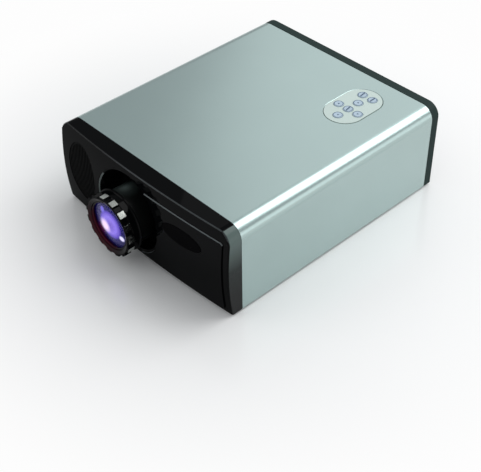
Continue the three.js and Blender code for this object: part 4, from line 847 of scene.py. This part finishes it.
def recess(name, case, grow):
    """The round recess as a solid: a funnel that widens and rises from its floor past its rim."""
    depth = case.edge_depth + case.bow_across + case.bow_up - case.floor
    reach = 2 * depth
    widening = (case.rim_radius - case.floor_radius) * reach / depth
    middle = JOINT - case.floor - reach / 2
    start()
    bpy.ops.mesh.primitive_cone_add(
        vertices=128, radius1=case.floor_radius + grow, radius2=case.floor_radius + grow + widening, depth=reach,
        location=(LENS.x, middle, LENS.z), rotation=TO_AXIS[Y])
    piece = settle(name)
    edit(piece)
    pick(piece, "VERT", lambda v: v.co.y < middle)
    bpy.ops.transform.translate(value=(0, 0, case.rim_lift * reach / depth))
    start()
    return piece


def panel_blank(case, grow):
    """The outline of the inlaid panel as a long solid, hollowed round the recess."""
    low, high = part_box("front_panel")
    piece = block("panel_tool", (LENS.x - grow, JOINT - 2 * case.rim_radius, low.z - grow),
                  (high.x + grow, JOINT + OVERRUN, high.z + grow))
    rounded(piece, case.panel_corner + grow, 6, lambda e: span(e, Y) > OVERRUN)
    return combine(piece, "DIFFERENCE", recess("recess_tool", case, case.panel_rim - grow))


def oval_tool(name, node, grow):
    """An oval solid along Y over a node's outline."""
    half = half_of(node)
    return rod(name, half.x + grow, middle_of(node), JOINT - REACH, JOINT + OVERRUN, up=half.z + grow)


# Operators, one for each piece or group of like pieces

class PROJECTOR_OT_shell(bpy.types.Operator):
    """Bent aluminium sheet over the top and both sides"""

    bl_idname = "projector.shell"
    bl_label = "Shell"

    def execute(self, context):
        case = context.scene.projector_case
        shell = block("shell_skin", SHELL_LOW, SHELL_HIGH)
        edit(shell)
        pick(shell, "FACE", lambda f: f.normal.z < -0.5 or abs(f.normal.y) > 0.5)
        bpy.ops.mesh.delete(type="FACE")
        rounded(shell, case.top_radius, 16, lambda e: e.calc_length() > HALF_WIDTH and span(e, X) < TOUCH
                and all(v.co.z > TOP - TOUCH for v in e.verts))
        apply_modifier(shell, "SOLIDIFY", thickness=case.sheet, offset=-1)
        half, grow = half_of("keypad_plate"), case.gap - context.scene.projector_keypad.flange
        combine(shell, "DIFFERENCE",
                obround("keypad_hole", half.x + grow, half.y + grow, TOP - 3 * case.sheet, TOP + OVERRUN))
        rounded(shell, case.hole_edge, 3, lambda e: creased(e, 1) and all(
            v.co.z > TOP - TOUCH and abs(v.co.x) < HALF_WIDTH - case.top_radius - MM
            and SHELL_LOW.y + MM < v.co.y < SHELL_HIGH.y - MM for v in e.verts))
        back = SHELL_HIGH.y + case.gap - case.vent_from_back
        slot = block("vent_slot", (SHELL_LOW.x - OVERRUN, back - case.vent_width, BASE + case.vent_bottom),
                     (SHELL_LOW.x + case.sheet + OVERRUN, back, TOP - case.vent_top))
        rounded(slot, case.vent_width * 0.45, 4, lambda e: span(e, X) > OVERRUN)
        combine(shell, "DIFFERENCE", row(slot, case.vent_count, (0, -case.vent_pitch, 0), "vent_slots"))
        soften(shell, 0.35)
        hang(shell, "housing", ["top_shell"], "silver_shell", "shell")
        return {"FINISHED"}


class PROJECTOR_OT_front_bezel(bpy.types.Operator):
    """Bowed gloss-black front with the round lens recess"""

    bl_idname = "projector.front_bezel"
    bl_label = "Front bezel"

    def execute(self, context):
        case = context.scene.projector_case
        low, high, behind = (-HALF_WIDTH, 0, BASE), (HALF_WIDTH, 0, TOP), JOINT + OVERRUN
        bezel = bowed("front_bezel_moulding", case, 0, None, low, high, 60, 24)
        combine(bezel, "INTERSECT", arch("outline", 0, BASE, JOINT - REACH, behind, case.top_radius))
        clean(bezel)
        rounded(bezel, case.ridge, 5, lambda e: creased(e, 0.9) and min(f.normal.y for f in e.link_faces) < -0.8
                and all(v.co.y < JOINT - case.pocket for v in e.verts))
        # Painted light: the ridge faces that face up and forward get a painted highlight, and the side faces a
        # painted reflection
        paint(bezel, ("gloss", "edges", "sides", "rim"), lambda f: f.normal.z > 0.35 and f.normal.y < -0.35,
              lambda f: abs(f.normal.x) > 0.35 and abs(f.normal.y) < 0.3)
        hollow = arch(
            "hollow", case.wall, BASE + case.wall, JOINT - case.pocket, behind, case.top_radius - case.wall)
        combine(bezel, "DIFFERENCE", hollow)
        combine(bezel, "UNION",
                rod("boss", case.floor_radius + case.boss, LENS, JOINT - case.pocket - case.floor, JOINT))
        combine(bezel, "DIFFERENCE", recess("recess_tool", case, 0))
        edit(bezel)
        bpy.ops.mesh.remove_doubles(threshold=TOUCH)
        near, depth = 0.4 * MM, case.edge_depth + case.bow_across + case.bow_up - case.floor

        def on_rim(vertex):
            x, y, z = vertex.co
            out = JOINT - y
            share = (out - case.floor) / depth
            radius = case.floor_radius + share * (case.rim_radius - case.floor_radius)
            off = math.hypot(x - LENS.x, z - LENS.z - share * case.rim_lift)
            return abs(off - radius) < near and abs(out - across(case, x) - upward(case, z)) < near

        pick(bezel, "EDGE", lambda e: creased(e, 0.5) and all(on_rim(v) for v in e.verts))
        bpy.ops.mesh.bevel(offset=case.rim_round, segments=5, affect="EDGES")
        # Painted highlight: only the rim faces on the left, which catch the light, get the paler finish
        left = LENS.x - 0.8 * case.rim_radius
        mesh = bmesh.from_edit_mesh(bezel.data)
        for face in mesh.faces:
            if face.select and face.calc_center_median().x < left and 0.25 < abs(face.normal.x) < 0.8:
                face.material_index = 3
        bmesh.update_edit_mesh(bezel.data)
        sunk = case.panel_thickness - case.panel_proud + case.gap
        pocket = bowed("panel_pocket", case, -OVERRUN, sunk, low, high, 60, 24)
        combine(pocket, "INTERSECT", panel_blank(case, case.gap))
        collar = context.scene.projector_lens.collar_radius + case.gap
        combine(bezel, "DIFFERENCE", rod("collar_hole", collar, LENS, JOINT - REACH, behind), pocket,
                oval_tool("grille_hole", "speaker_grille", case.gap),
                rod("eye_hole", case.eye, middle_of("infrared_window"), JOINT - REACH, behind, sides=32))
        soften(bezel, 0.3)
        hang(bezel, "housing", ["front_bezel"], "gloss_black")
        return {"FINISHED"}


class PROJECTOR_OT_front_panel(bpy.types.Operator):
    """Panel beside the lens and the oval window in it"""

    bl_idname = "projector.front_panel"
    bl_label = "Front panel and window"

    def execute(self, context):
        case = context.scene.projector_case
        low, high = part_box("front_panel")
        proud, back = case.panel_proud, case.panel_thickness - case.panel_proud
        panel = bowed("front_panel_inlay", case, -proud, back, (LENS.x, 0, low.z), high, 40, 24)
        combine(panel, "INTERSECT", panel_blank(case, 0))
        combine(panel, "DIFFERENCE", oval_tool("window_hole", "infrared_window", case.gap))
        soften(panel, 1)
        # Painted highlight on the panel's upper edge, where it faces up
        paint(panel, ("gloss", "bright_edges"), lambda f: f.normal.z > 0.5 and f.normal.y < 0.5)
        hang(panel, "housing", ["front_panel"], "gloss_black")
        window = bowed("oval_window", case, -proud - case.window_proud, back, *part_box("infrared_window"), 24, 12)
        combine(window, "INTERSECT", oval_tool("window_tool", "infrared_window", 0))
        soften(window, 0.4, 3)
        hang(window, "housing", ["infrared_window"], "smoked_window", "window")
        return {"FINISHED"}


class PROJECTOR_OT_grille(bpy.types.Operator):
    """Oval speaker grille with upright slots"""

    bl_idname = "projector.grille"
    bl_label = "Speaker grille"

    def execute(self, context):
        case = context.scene.projector_case
        low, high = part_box("speaker_grille")
        grille = bowed(
            "oval_grille", case, case.grille_sunk, case.grille_sunk + case.grille_thickness, low, high, 30, 24)
        combine(grille, "INTERSECT", oval_tool("grille_tool", "speaker_grille", 0))
        first = (low.x + high.x) / 2 - case.slot_pitch * (case.slot_count - 1) / 2
        half = case.slot_width / 2
        slot = block("slot", (first - half, JOINT - REACH, low.z), (first + half, JOINT, high.z))
        slots = row(slot, case.slot_count, (case.slot_pitch, 0, 0), "slots")
        combine(slots, "INTERSECT", oval_tool("slot_field", "speaker_grille", -case.grille_rim))
        combine(grille, "DIFFERENCE", slots)
        soften(grille, 0.3)
        hang(grille, "housing", ["speaker_grille"], "satin_black", "satin")
        return {"FINISHED"}


class PROJECTOR_OT_lens(bpy.types.Operator):
    """Collar, barrel, retaining ring and glasses of the lens"""

    bl_idname = "projector.lens"
    bl_label = "Lens"

    def execute(self, context):
        lens = context.scene.projector_lens
        gap = context.scene.projector_case.gap
        front, back = (corner.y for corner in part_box("lens_mount"))
        bore, seat, behind = lens.barrel_radius + gap, JOINT + gap, JOINT + gap + lens.flange
        collar = turned("lens_collar", [
            (bore, front), (lens.collar_radius, front), (lens.collar_radius, seat), (lens.flange_radius, seat),
            (lens.flange_radius, behind), (lens.collar_radius, behind), (lens.collar_radius, back), (bore, back),
        ], LENS, steps=128)
        soften(collar, 0.6, 3)
        # Satin black with a painted soft highlight
        hang(collar, "housing", ["lens_mount"], "satin_black", "collar")
        front, back = (corner.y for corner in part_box("lens_barrel"))
        bell_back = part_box("focus_ring")[1].y - lens.ring_wall + gap - lens.running_gap
        glass_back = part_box("front_lens")[1].y
        seat = glass_back + gap
        bore, mouth = lens.barrel_radius - lens.barrel_wall, lens.bell_radius - lens.bell_wall
        barrel = turned("barrel_tube", [
            (mouth, front), (lens.bell_radius, front), (lens.bell_radius, bell_back), (lens.barrel_radius, bell_back),
            (lens.barrel_radius, back), (bore, back), (bore, seat), (mouth, seat),
        ], LENS)
        soften(barrel, 0.25)
        # The barrel's front, ahead of the glass, gets the polished black with a painted wine-red glow
        paint(barrel, ("satin", "mouth"), lambda f: f.calc_center_median().y < seat)
        hang(barrel, "lens_carrier", ["lens_barrel"], "satin_black")
        outer = mouth - gap
        low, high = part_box("lens_retaining_ring")
        land, slope = 1.2 * MM, 0.4 * MM
        ring = turned("retaining_ring", [
            (outer - land, low.y + slope), (outer - land + slope, low.y), (outer, low.y), (outer, high.y),
            (outer - land, high.y),
        ], LENS)
        soften(ring, 0.15)
        # The retaining ring gets the same painted wine-red glow
        hang(ring, "lens_carrier", ["lens_retaining_ring"], "satin_black", "mouth")

        def crown(place):
            shares = [1 - i / 12 for i in range(13)]
            return [(outer * s, place - lens.glass_rise * (1 - s ** 2)) for s in shares]

        glass_front = glass_back - lens.glass_edge
        bottom = glass_front + lens.front_edge
        glass = turned("front_glass", [*reversed(crown(bottom)), *crown(glass_front)], LENS)
        soften(glass, 0, turn=50)
        hang(glass, "lens_carrier", ["front_lens"], "coated_glass", "front_glass")
        inner = turned("second_glass", [(0, glass_back), (outer, glass_back), *crown(bottom + gap)], LENS)
        soften(inner, 0, turn=50)
        # The second glass glows with painted reflections
        hang(inner, "lens_carrier", [], "coated_glass", "inner_glass")
        return {"FINISHED"}


class PROJECTOR_OT_focus_ring(bpy.types.Operator):
    """Focus ring with raised grips"""

    bl_idname = "projector.focus_ring"
    bl_label = "Focus ring"

    def execute(self, context):
        lens = context.scene.projector_lens
        gap = context.scene.projector_case.gap
        front, back = (corner.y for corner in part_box("focus_ring"))
        outer, slope, bell_back = lens.ring_radius, lens.chamfer, back - lens.ring_wall + gap
        base, cavity, grip_end = outer - lens.grip_rise, front + lens.lip, front + lens.grip_length
        inner, bore, rib = lens.bell_radius + lens.running_gap, lens.barrel_radius + gap, back - lens.rib
        ring = turned("focus_grip_ring", [
            (lens.lip_bore, cavity - 0.3 * MM), (base - slope - lens.lip_land, front), (base - slope, front),
            (base, front + slope), (base, grip_end), (base + lens.band_rise, grip_end + slope),
            (base + lens.band_rise, rib - slope), (outer - slope, rib), (outer, rib + slope / 2),
            (outer, back - slope / 2), (outer - slope, back), (bore, back), (bore, bell_back), (inner, bell_back),
            (inner, cavity), (lens.lip_bore, cavity),
        ], LENS, steps=180)
        half_angle = TURN / lens.grip_count * lens.grip_share / 2
        flat, half = outer * math.cos(half_angle), outer * math.sin(half_angle)
        tip, root = front + 0.5 * MM, base - 1.2 * MM
        grip = block("grip", (LENS.x - half, tip, LENS.z + root), (LENS.x + half, grip_end, LENS.z + flat))
        edit(grip)
        pick(grip, "FACE", lambda f: f.normal.z < -0.5)
        bpy.ops.transform.resize(value=(1 + lens.grip_slope / half, 1, 1), center_override=LENS)
        turn_round(grip, math.pi / 2 - lens.first_grip, LENS)
        combine(ring, "UNION", around(grip, lens.grip_count, LENS))
        soften(ring, 0.12, 1)

        def off_axis(vertex):
            return math.hypot(vertex.co.x - LENS.x, vertex.co.z - LENS.z)

        def on_land(face):
            return (face.calc_center_median().y < grip_end and abs(face.normal.y) < 0.3
                    and all(off_axis(v) > flat - 0.3 * MM for v in face.verts))

        def on_lip(face):
            return face.normal.y < -0.1 and all(
                v.co.y < cavity and lens.lip_bore - TOUCH < off_axis(v) < base - slope for v in face.verts)

        # The lip gets the polished black with a painted wine-red glow
        paint(ring, ("gloss", "grips", "lip"), on_land, on_lip)
        hang(ring, "focus_grip", ["focus_ring"], "gloss_black")
        return {"FINISHED"}


class PROJECTOR_OT_keypad(bpy.types.Operator):
    """Keypad plate and its seven round keys"""

    bl_idname = "projector.keypad"
    bl_label = "Keypad"

    def execute(self, context):
        pad = context.scene.projector_keypad
        low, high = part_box("keypad_plate")
        half = half_of("keypad_plate")
        plate = obround("keypad_cover", half.x - pad.flange, half.y - pad.flange, low.z, high.z)
        combine(plate, "UNION", obround("flange", half.x, half.y, low.z, low.z + pad.flange_thickness))
        radius = pad.key_radius + context.scene.projector_case.gap
        for key in KEYS:
            hole = rod("key_hole", radius, middle_of(f"{key}_key"), low.z - OVERRUN, high.z + OVERRUN, Z, 64)
            combine(plate, "DIFFERENCE", hole)
        soften(plate, 0.4, 3)
        hang(plate, "housing", ["keypad_plate"], "keypad_grey", "plate")
        for key in KEYS:
            self.key(pad, key, low.z - 0.3 * MM)
        return {"FINISHED"}

    def key(self, pad, key, skirt_top):
        """One key cap with its printed ring and symbol."""
        low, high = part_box(f"{key}_key")
        place, skirt = middle_of(f"{key}_key"), half_of(f"{key}_key").x
        edge, top, radius, dish = pad.key_edge, high.z, pad.key_radius, pad.dish
        cap = turned(f"{key}_cap", [
            (0, low.z), (skirt, low.z), (skirt, skirt_top), (radius, skirt_top), (radius, top - edge),
            (radius - edge * 0.3, top - edge * 0.3), (radius - edge, top), (pad.ring_outer, top),
            (pad.ring_inner, top - dish * 0.3), (pad.ring_inner * 0.55, top - dish * 0.8), (0, top - dish),
        ], place, Z, 64)
        soften(cap, 0, turn=30)
        paint(cap, ("key", "ink"), lambda f: f.normal.z > 0.8
              and pad.ring_inner < (f.calc_center_median() - place).to_2d().length < pad.ring_outer)
        gather([cap, self.symbol(pad, key, place, top - dish)], f"{key}_cap")
        hang(cap, f"{key}_button", [f"{key}_key"], "key_blue")

    def symbol(self, pad, key, place, height):
        """A small arrow, or a slanted bar, printed in the middle of a key."""
        start()
        arrows = {"left": 90, "right": -90, "up": 0, "down": -180}
        if key in arrows:
            bpy.ops.mesh.primitive_cylinder_add(
                vertices=3, radius=pad.symbol, depth=4 * pad.print_rise, rotation=(0, 0, math.radians(arrows[key])),
                location=(place.x, place.y, height + pad.print_rise))
        else:
            slant = math.radians({"enter": 100, "menu": 96, "source": 92}[key])
            bpy.ops.mesh.primitive_cube_add(
                size=1, location=(place.x, place.y, height + 2 * pad.dish), rotation=(0, 0, slant),
                scale=(1.7 * pad.ring_inner, 0.55 * pad.symbol, 2 * pad.dish))
        mark = settle(f"{key}_symbol")
        edit(mark)
        pick(mark, "FACE", lambda f: f.normal.z > 0.5)
        bpy.ops.mesh.bevel(offset=0.3 * pad.print_rise, segments=1, affect="EDGES")
        start()
        mark.data.materials.append(material("ink"))
        return mark


class PROJECTOR_OT_rear_bezel(bpy.types.Operator):
    """Dark frame round the rear"""

    bl_idname = "projector.rear_bezel"
    bl_label = "Rear bezel"

    def execute(self, context):
        case, rear = context.scene.projector_case, context.scene.projector_rear
        front, back = (corner.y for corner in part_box("rear_bezel"))
        bezel = arch("rear_frame", 0, BASE, front, back, case.top_radius)
        rounded(bezel, rear.edge, 4, lambda e: all(v.co.y > back - TOUCH for v in e.verts)
                and any(abs(f.normal.y) > 0.9 for f in e.link_faces))
        inner, ledge = front - OVERRUN, front + rear.ledge_thickness
        inset = rear.wall + rear.ledge
        fan, half = middle_of("fan_frame"), half_of("fan_frame")
        across_fan, up_fan = half.x + case.gap, half.z + case.gap
        combine(bezel, "DIFFERENCE",
                arch("mouth", rear.wall, BASE + rear.wall, ledge, back + OVERRUN, case.top_radius - rear.wall),
                arch("hole", inset, BASE + inset, inner, ledge + OVERRUN, 3 * MM),
                block("fan_hole", (fan.x - across_fan, inner, fan.z - up_fan),
                      (fan.x + across_fan, ledge + OVERRUN, fan.z + up_fan)))
        for i in range(1, 5):
            screw = middle_of(f"rear_screw_{i}")
            combine(bezel, "DIFFERENCE", rod("screw_hole", rear.screw_hole, screw, inner, back, sides=24))
        soften(bezel, 0.3)
        hang(bezel, "housing", ["rear_bezel"], "gloss_black", "frame")
        return {"FINISHED"}


class PROJECTOR_OT_fan(bpy.types.Operator):
    """Round wire guard and the fan wheel behind it"""

    bl_idname = "projector.fan"
    bl_label = "Fan"

    def execute(self, context):
        rear = context.scene.projector_rear
        front, back = (corner.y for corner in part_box("fan_guard"))
        wire, outer, hub = (back - front) / 2, half_of("fan_guard").x, rear.guard_hub
        outlet = outer - rear.guard_border
        rings = []
        for i in range(1, rear.guard_rings + 1):
            start()
            bpy.ops.mesh.primitive_torus_add(
                major_radius=hub + i * (outlet - hub) / (rear.guard_rings + 1) + wire, minor_radius=wire,
                major_segments=72, minor_segments=12, location=FAN, rotation=TO_AXIS[Y])
            rings.append(settle(f"guard_ring_{i}"))
        border = turned("guard_border", [(outlet, front), (outer, front), (outer, back), (outlet, back)], FAN)
        plate = turned("guard_hub", [(0, front), (hub, front), (hub, back), (0, back)], FAN)
        for round_piece in (border, plate):
            soften(round_piece, 0.4, 3)
        bars = []
        for side in (-1, 1):
            bar = rod("bar", wire * 0.9, FAN, FAN.x - outlet - wire, FAN.x + outlet + wire, X, 12)
            bars.append(turn_round(bar, side * math.pi / 4, FAN))
        guard = gather([border, plate, *rings, *bars], "fan_wire_guard")
        hold(guard)
        bpy.ops.object.shade_smooth_by_angle(angle=math.radians(40))
        hang(guard, "housing", ["fan_guard"], "steel", "nickel")
        front, back = (corner.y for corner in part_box("fan_rotor"))
        middle = (front + back) / 2
        wheel = turned("fan_wheel_blades", [
            (0, front + rear.hub_cap), (rear.shaft, front + rear.hub_cap), (rear.shaft, front),
            (rear.hub_radius, front), (rear.hub_radius, back), (0, back),
        ], FAN, steps=64)
        soften(wheel, 0.8, 3)
        chord, thick = rear.blade_chord / 2, rear.blade / 2
        blade = block("blade", (FAN.x + rear.hub_radius - 2 * MM, middle - chord, FAN.z - thick),
                      (FAN.x + rear.blade_radius, middle + chord, FAN.z + thick))
        edit(blade)
        bpy.ops.mesh.subdivide(number_cuts=3)
        bpy.ops.transform.rotate(value=rear.blade_pitch, orient_axis="X", center_override=(FAN.x, middle, FAN.z))
        combine(wheel, "UNION", around(blade, rear.blade_count, FAN))
        soften(wheel, 0.2, 1)
        hang(wheel, "fan_wheel", ["fan_rotor"], "satin_black", "nylon")
        return {"FINISHED"}


class PROJECTOR_OT_sockets(bpy.types.Operator):
    """Computer socket, rear screws and the marks on the power rocker"""

    bl_idname = "projector.sockets"
    bl_label = "Computer socket, screws and marks"

    def execute(self, context):
        rear = context.scene.projector_rear
        self.computer_socket(rear)
        self.screws(rear)
        self.marks(rear)
        return {"FINISHED"}

    def slanted(self, name, rear, front, back, grow):
        """A solid with the outline of the computer socket's shell."""
        middle = middle_of("computer_socket")
        half, rise = rear.socket_width / 2 + grow, rear.socket_height / 2 + grow
        piece = block(name, (middle.x - half, front, middle.z - rise), (middle.x + half, back, middle.z + rise))
        edit(piece)
        pick(piece, "VERT", lambda v: v.co.z < middle.z)
        bpy.ops.transform.resize(value=(1 - rear.socket_slant / half, 1, 1), center_override=middle)
        return rounded(piece, rear.socket_corner, 5, lambda e: span(e, Y) > TOUCH)

    def computer_socket(self, rear):
        """A plated shell round an insert with fifteen holes, between two hexagonal posts."""
        low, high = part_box("computer_socket")
        middle, wall, bite = (low + high) / 2, rear.socket_wall, 0.2 * MM
        face = high.y - rear.socket_reach
        seat, post_end, insert_end = face - rear.socket_plate, high.y - 0.5 * MM, high.y - 1.2 * MM
        socket = block("computer_socket_shell", (low.x, seat, low.z), (high.x, face, high.z))
        combine(socket, "UNION", self.slanted("shell", rear, seat + bite, high.y, 0))
        combine(socket, "DIFFERENCE", self.slanted("hollow", rear, seat - OVERRUN, high.y + OVERRUN, -wall))
        for side in (-1, 1):
            post = middle + AXES[X] * side * (rear.socket_width / 2 + rear.post_gap + rear.post)
            combine(socket, "UNION", rod("post", rear.post, post, seat + bite, post_end, sides=6))
            combine(socket, "DIFFERENCE", rod("hole", rear.post / 2, post, face, post_end + OVERRUN, sides=24))
        soften(socket, 0.2)
        hang(socket, "housing", ["computer_socket"], "steel", "nickel")
        insert = self.slanted("computer_socket_insert", rear, low.y, insert_end, -wall - 0.05 * MM)
        holes = []
        for line in (-1, 0, 1):
            for column in range(-2, 3):
                offset = (column + (0.25 if line else -0.25)) * rear.contact_pitch
                place = middle + AXES[X] * offset + AXES[Z] * line * rear.row_pitch
                ends = insert_end - OVERRUN, insert_end + OVERRUN
                holes.append(rod("contact", rear.contact, place, *ends, sides=16))
        combine(insert, "DIFFERENCE", gather(holes, "contacts"))
        soften(insert, 0.1, 1)
        hang(insert, "housing", [], "satin_black", "nylon")

    def screws(self, rear):
        """Pan-head screws with a crossed recess, modelled once and copied."""
        low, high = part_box("rear_screw_1")
        place, radius, rise, shank = (low + high) / 2, rear.screw_head, rear.screw_rise, rear.screw_shank
        seat, top = high.y - rise, high.y
        screw = turned("cross_screw_1", [
            (0, low.y), (shank, low.y), (shank, seat), (radius, seat), (radius, top - rise * 0.55),
            (radius * 0.86, top - rise * 0.22), (radius * 0.5, top), (0, top),
        ], place, steps=48)
        long, short = radius * 0.58, 0.35 * MM
        for wide, tall in ((long, short), (short, long)):
            combine(screw, "DIFFERENCE", block("recess", (place.x - wide, top - rise * 0.6, place.z - tall),
                                               (place.x + wide, top + OVERRUN, place.z + tall)))
        soften(screw, 0.1)
        shifts = {i: middle_of(f"rear_screw_{i}") - place for i in range(2, 5)}
        screws = [screw] + [twin(screw, f"cross_screw_{i}", shift) for i, shift in shifts.items()]
        for i, piece in enumerate(screws, 1):
            hang(piece, "housing", [f"rear_screw_{i}"], "steel", "nickel")

    def marks(self, rear):
        """The usual line and circle for on and off, on the two slopes of the rocker."""
        size, line, rise = rear.mark, rear.mark_line / 2, 0.04 * MM
        for name, above in (("off_mark", True), ("on_mark", False)):
            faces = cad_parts["power_rocker"].data.polygons
            slope = [f for f in faces if f.normal.y > 0.8 and (f.normal.z < 0) == above]
            centre = sum((f.center * f.area for f in slope), Vector()) / sum(f.area for f in slope)
            normal = sum((f.normal * f.area for f in slope), Vector()).normalized()
            low, high = centre.y - rise, centre.y + rise
            if above:
                mark = turned(name, [
                    (size - line, low), (size + line, low), (size + line, high), (size - line, high)],
                    centre, steps=48)
            else:
                mark = block(name, (centre.x - line, low, centre.z - size), (centre.x + line, high, centre.z + size))
            mark = turn_round(mark, -math.atan2(normal.z, normal.y), centre, X)
            hang(mark, "rocker", [], "white_plastic", "white")


class PROJECTOR_OT_inner(bpy.types.Operator):
    """Finishes of the pieces that stay as they are in the frame"""

    bl_idname = "projector.inner"
    bl_label = "Carried-over pieces"

    def execute(self, context):
        looks = {
            "zinc": "bottom_plate light_tunnel",
            "satin": "infrared_receiver fan_frame rear_panel main_chip",
            "nylon": "mains_inlet switch_frame",
            "gloss": "power_rocker",
            "nickel": "speaker_basket speaker_magnet",
            "cone": "speaker_cone",
            "inner_glass": "rear_lens",
            "acrylic": "front_fresnel_lens rear_fresnel_lens condenser_lens",
            "window": "liquid_crystal_panel",
            "aluminium": "light_source heat_sink smoothing_capacitor",
            "board": "key_board main_board power_board",
            "rubber": "key_mat foot_1 foot_2 foot_3 foot_4",
            "copper": "transformer",
            "yellow": "phono_socket_1",
            "white": "phono_socket_2",
            "red": "phono_socket_3",
        }
        for look, nodes in looks.items():
            for name in nodes.split():
                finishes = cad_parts[name].data.materials
                finishes.clear()
                finishes.append(material(look))
        return {"FINISHED"}


class PROJECTOR_OT_stage(bpy.types.Operator):
    """Floor, soft boxes, room and camera"""

    bl_idname = "projector.stage"
    bl_label = "Stage"

    def execute(self, context):
        scene, stage = context.scene, context.scene.projector_stage
        scene.view_settings.view_transform = "Standard"
        start()
        bpy.ops.mesh.primitive_plane_add(size=40, location=(0, 0, 0))
        floor = settle("floor")
        floor.data.materials.append(material("floor"))
        scene.world = bpy.data.worlds.new("room")
        scene.world.use_nodes = True
        background = scene.world.node_tree.nodes["Background"].inputs
        background["Color"].default_value = linear("#F4F6F8")
        background["Strength"].default_value = stage.world
        self.box("top_box", (-0.176, 0.816, 0.54), 1.9, (2.2, 1.5), stage.top_box)
        self.box("edge_box", (0.28, 0.51, 0.81), 1.5, (0.85, 1.3), stage.edge_box)
        self.box("side_box", (0.86, 0.51, 0.12), 2.2, (1.6, 0.9), stage.side_box)
        self.box("front_box", (-0.55, -0.66, 0.51), 1.8, (1.0, 0.35), stage.front_box)
        sine, cosine = math.sin(stage.azimuth), math.cos(stage.azimuth)
        flat = math.cos(stage.elevation)
        back = Vector((sine * flat, -cosine * flat, math.sin(stage.elevation)))
        right = Vector((cosine, sine, 0))
        up = back.cross(right)
        sine, cosine = math.sin(stage.roll), math.cos(stage.roll)
        turn = Matrix((cosine * right + sine * up, cosine * up - sine * right, back)).transposed().to_4x4()
        data = bpy.data.cameras.new("camera")
        data.lens = stage.lens
        data.sensor_width = 36
        camera = bpy.data.objects.new("camera", data)
        scene.collection.objects.link(camera)
        camera.matrix_world = Matrix.Translation(Vector(stage.target) + back * stage.distance) @ turn
        scene.camera = camera
        return {"FINISHED"}

    def box(self, name, direction, distance, size, brightness):
        """A soft box that faces the object from a direction."""
        direction = Vector(direction).normalized()
        data = bpy.data.lights.new(name, "AREA")
        data.shape = "RECTANGLE"
        data.size, data.size_y = size
        data.energy = brightness * math.pi * size[0] * size[1]
        light = bpy.data.objects.new(name, data)
        bpy.context.scene.collection.objects.link(light)
        light.location = direction * distance
        light.rotation_euler = direction.to_track_quat("Z", "Y").to_euler()


class PROJECTOR_PT_panel(bpy.types.Panel):
    """All pieces, in the order in which they are made"""

    bl_label = "Projector"
    bl_space_type = "VIEW_3D"
    bl_region_type = "UI"
    bl_category = "Projector"

    def draw(self, context):
        for operator in OPERATORS:
            self.layout.operator(operator.bl_idname)


OPERATORS = (
    PROJECTOR_OT_stage, PROJECTOR_OT_shell, PROJECTOR_OT_front_bezel, PROJECTOR_OT_front_panel, PROJECTOR_OT_grille,
    PROJECTOR_OT_lens, PROJECTOR_OT_focus_ring, PROJECTOR_OT_keypad, PROJECTOR_OT_rear_bezel, PROJECTOR_OT_fan,
    PROJECTOR_OT_sockets, PROJECTOR_OT_inner,
)
GROUPS = {
    "projector_case": ProjectorCase, "projector_lens": ProjectorLens, "projector_keypad": ProjectorKeypad,
    "projector_rear": ProjectorRear, "projector_finishes": ProjectorFinishes, "projector_stage": ProjectorStage,
}


def register():
    """Registers the classes and the groups of sizes."""
    for made in (*GROUPS.values(), *OPERATORS, PROJECTOR_PT_panel):
        bpy.utils.register_class(made)
    for name, group in GROUPS.items():
        setattr(bpy.types.Scene, name, PointerProperty(type=group))


def unregister():
    """Takes them away again."""
    for name in GROUPS:
        delattr(bpy.types.Scene, name)
    for made in (PROJECTOR_PT_panel, *reversed(OPERATORS), *GROUPS.values()):
        bpy.utils.unregister_class(made)


def main():
    """Makes every piece in order."""
    register()
    for operator in OPERATORS:
        getattr(bpy.ops.projector, operator.bl_idname.split(".")[1])()
    start()


if __name__ == "__main__":
    main()
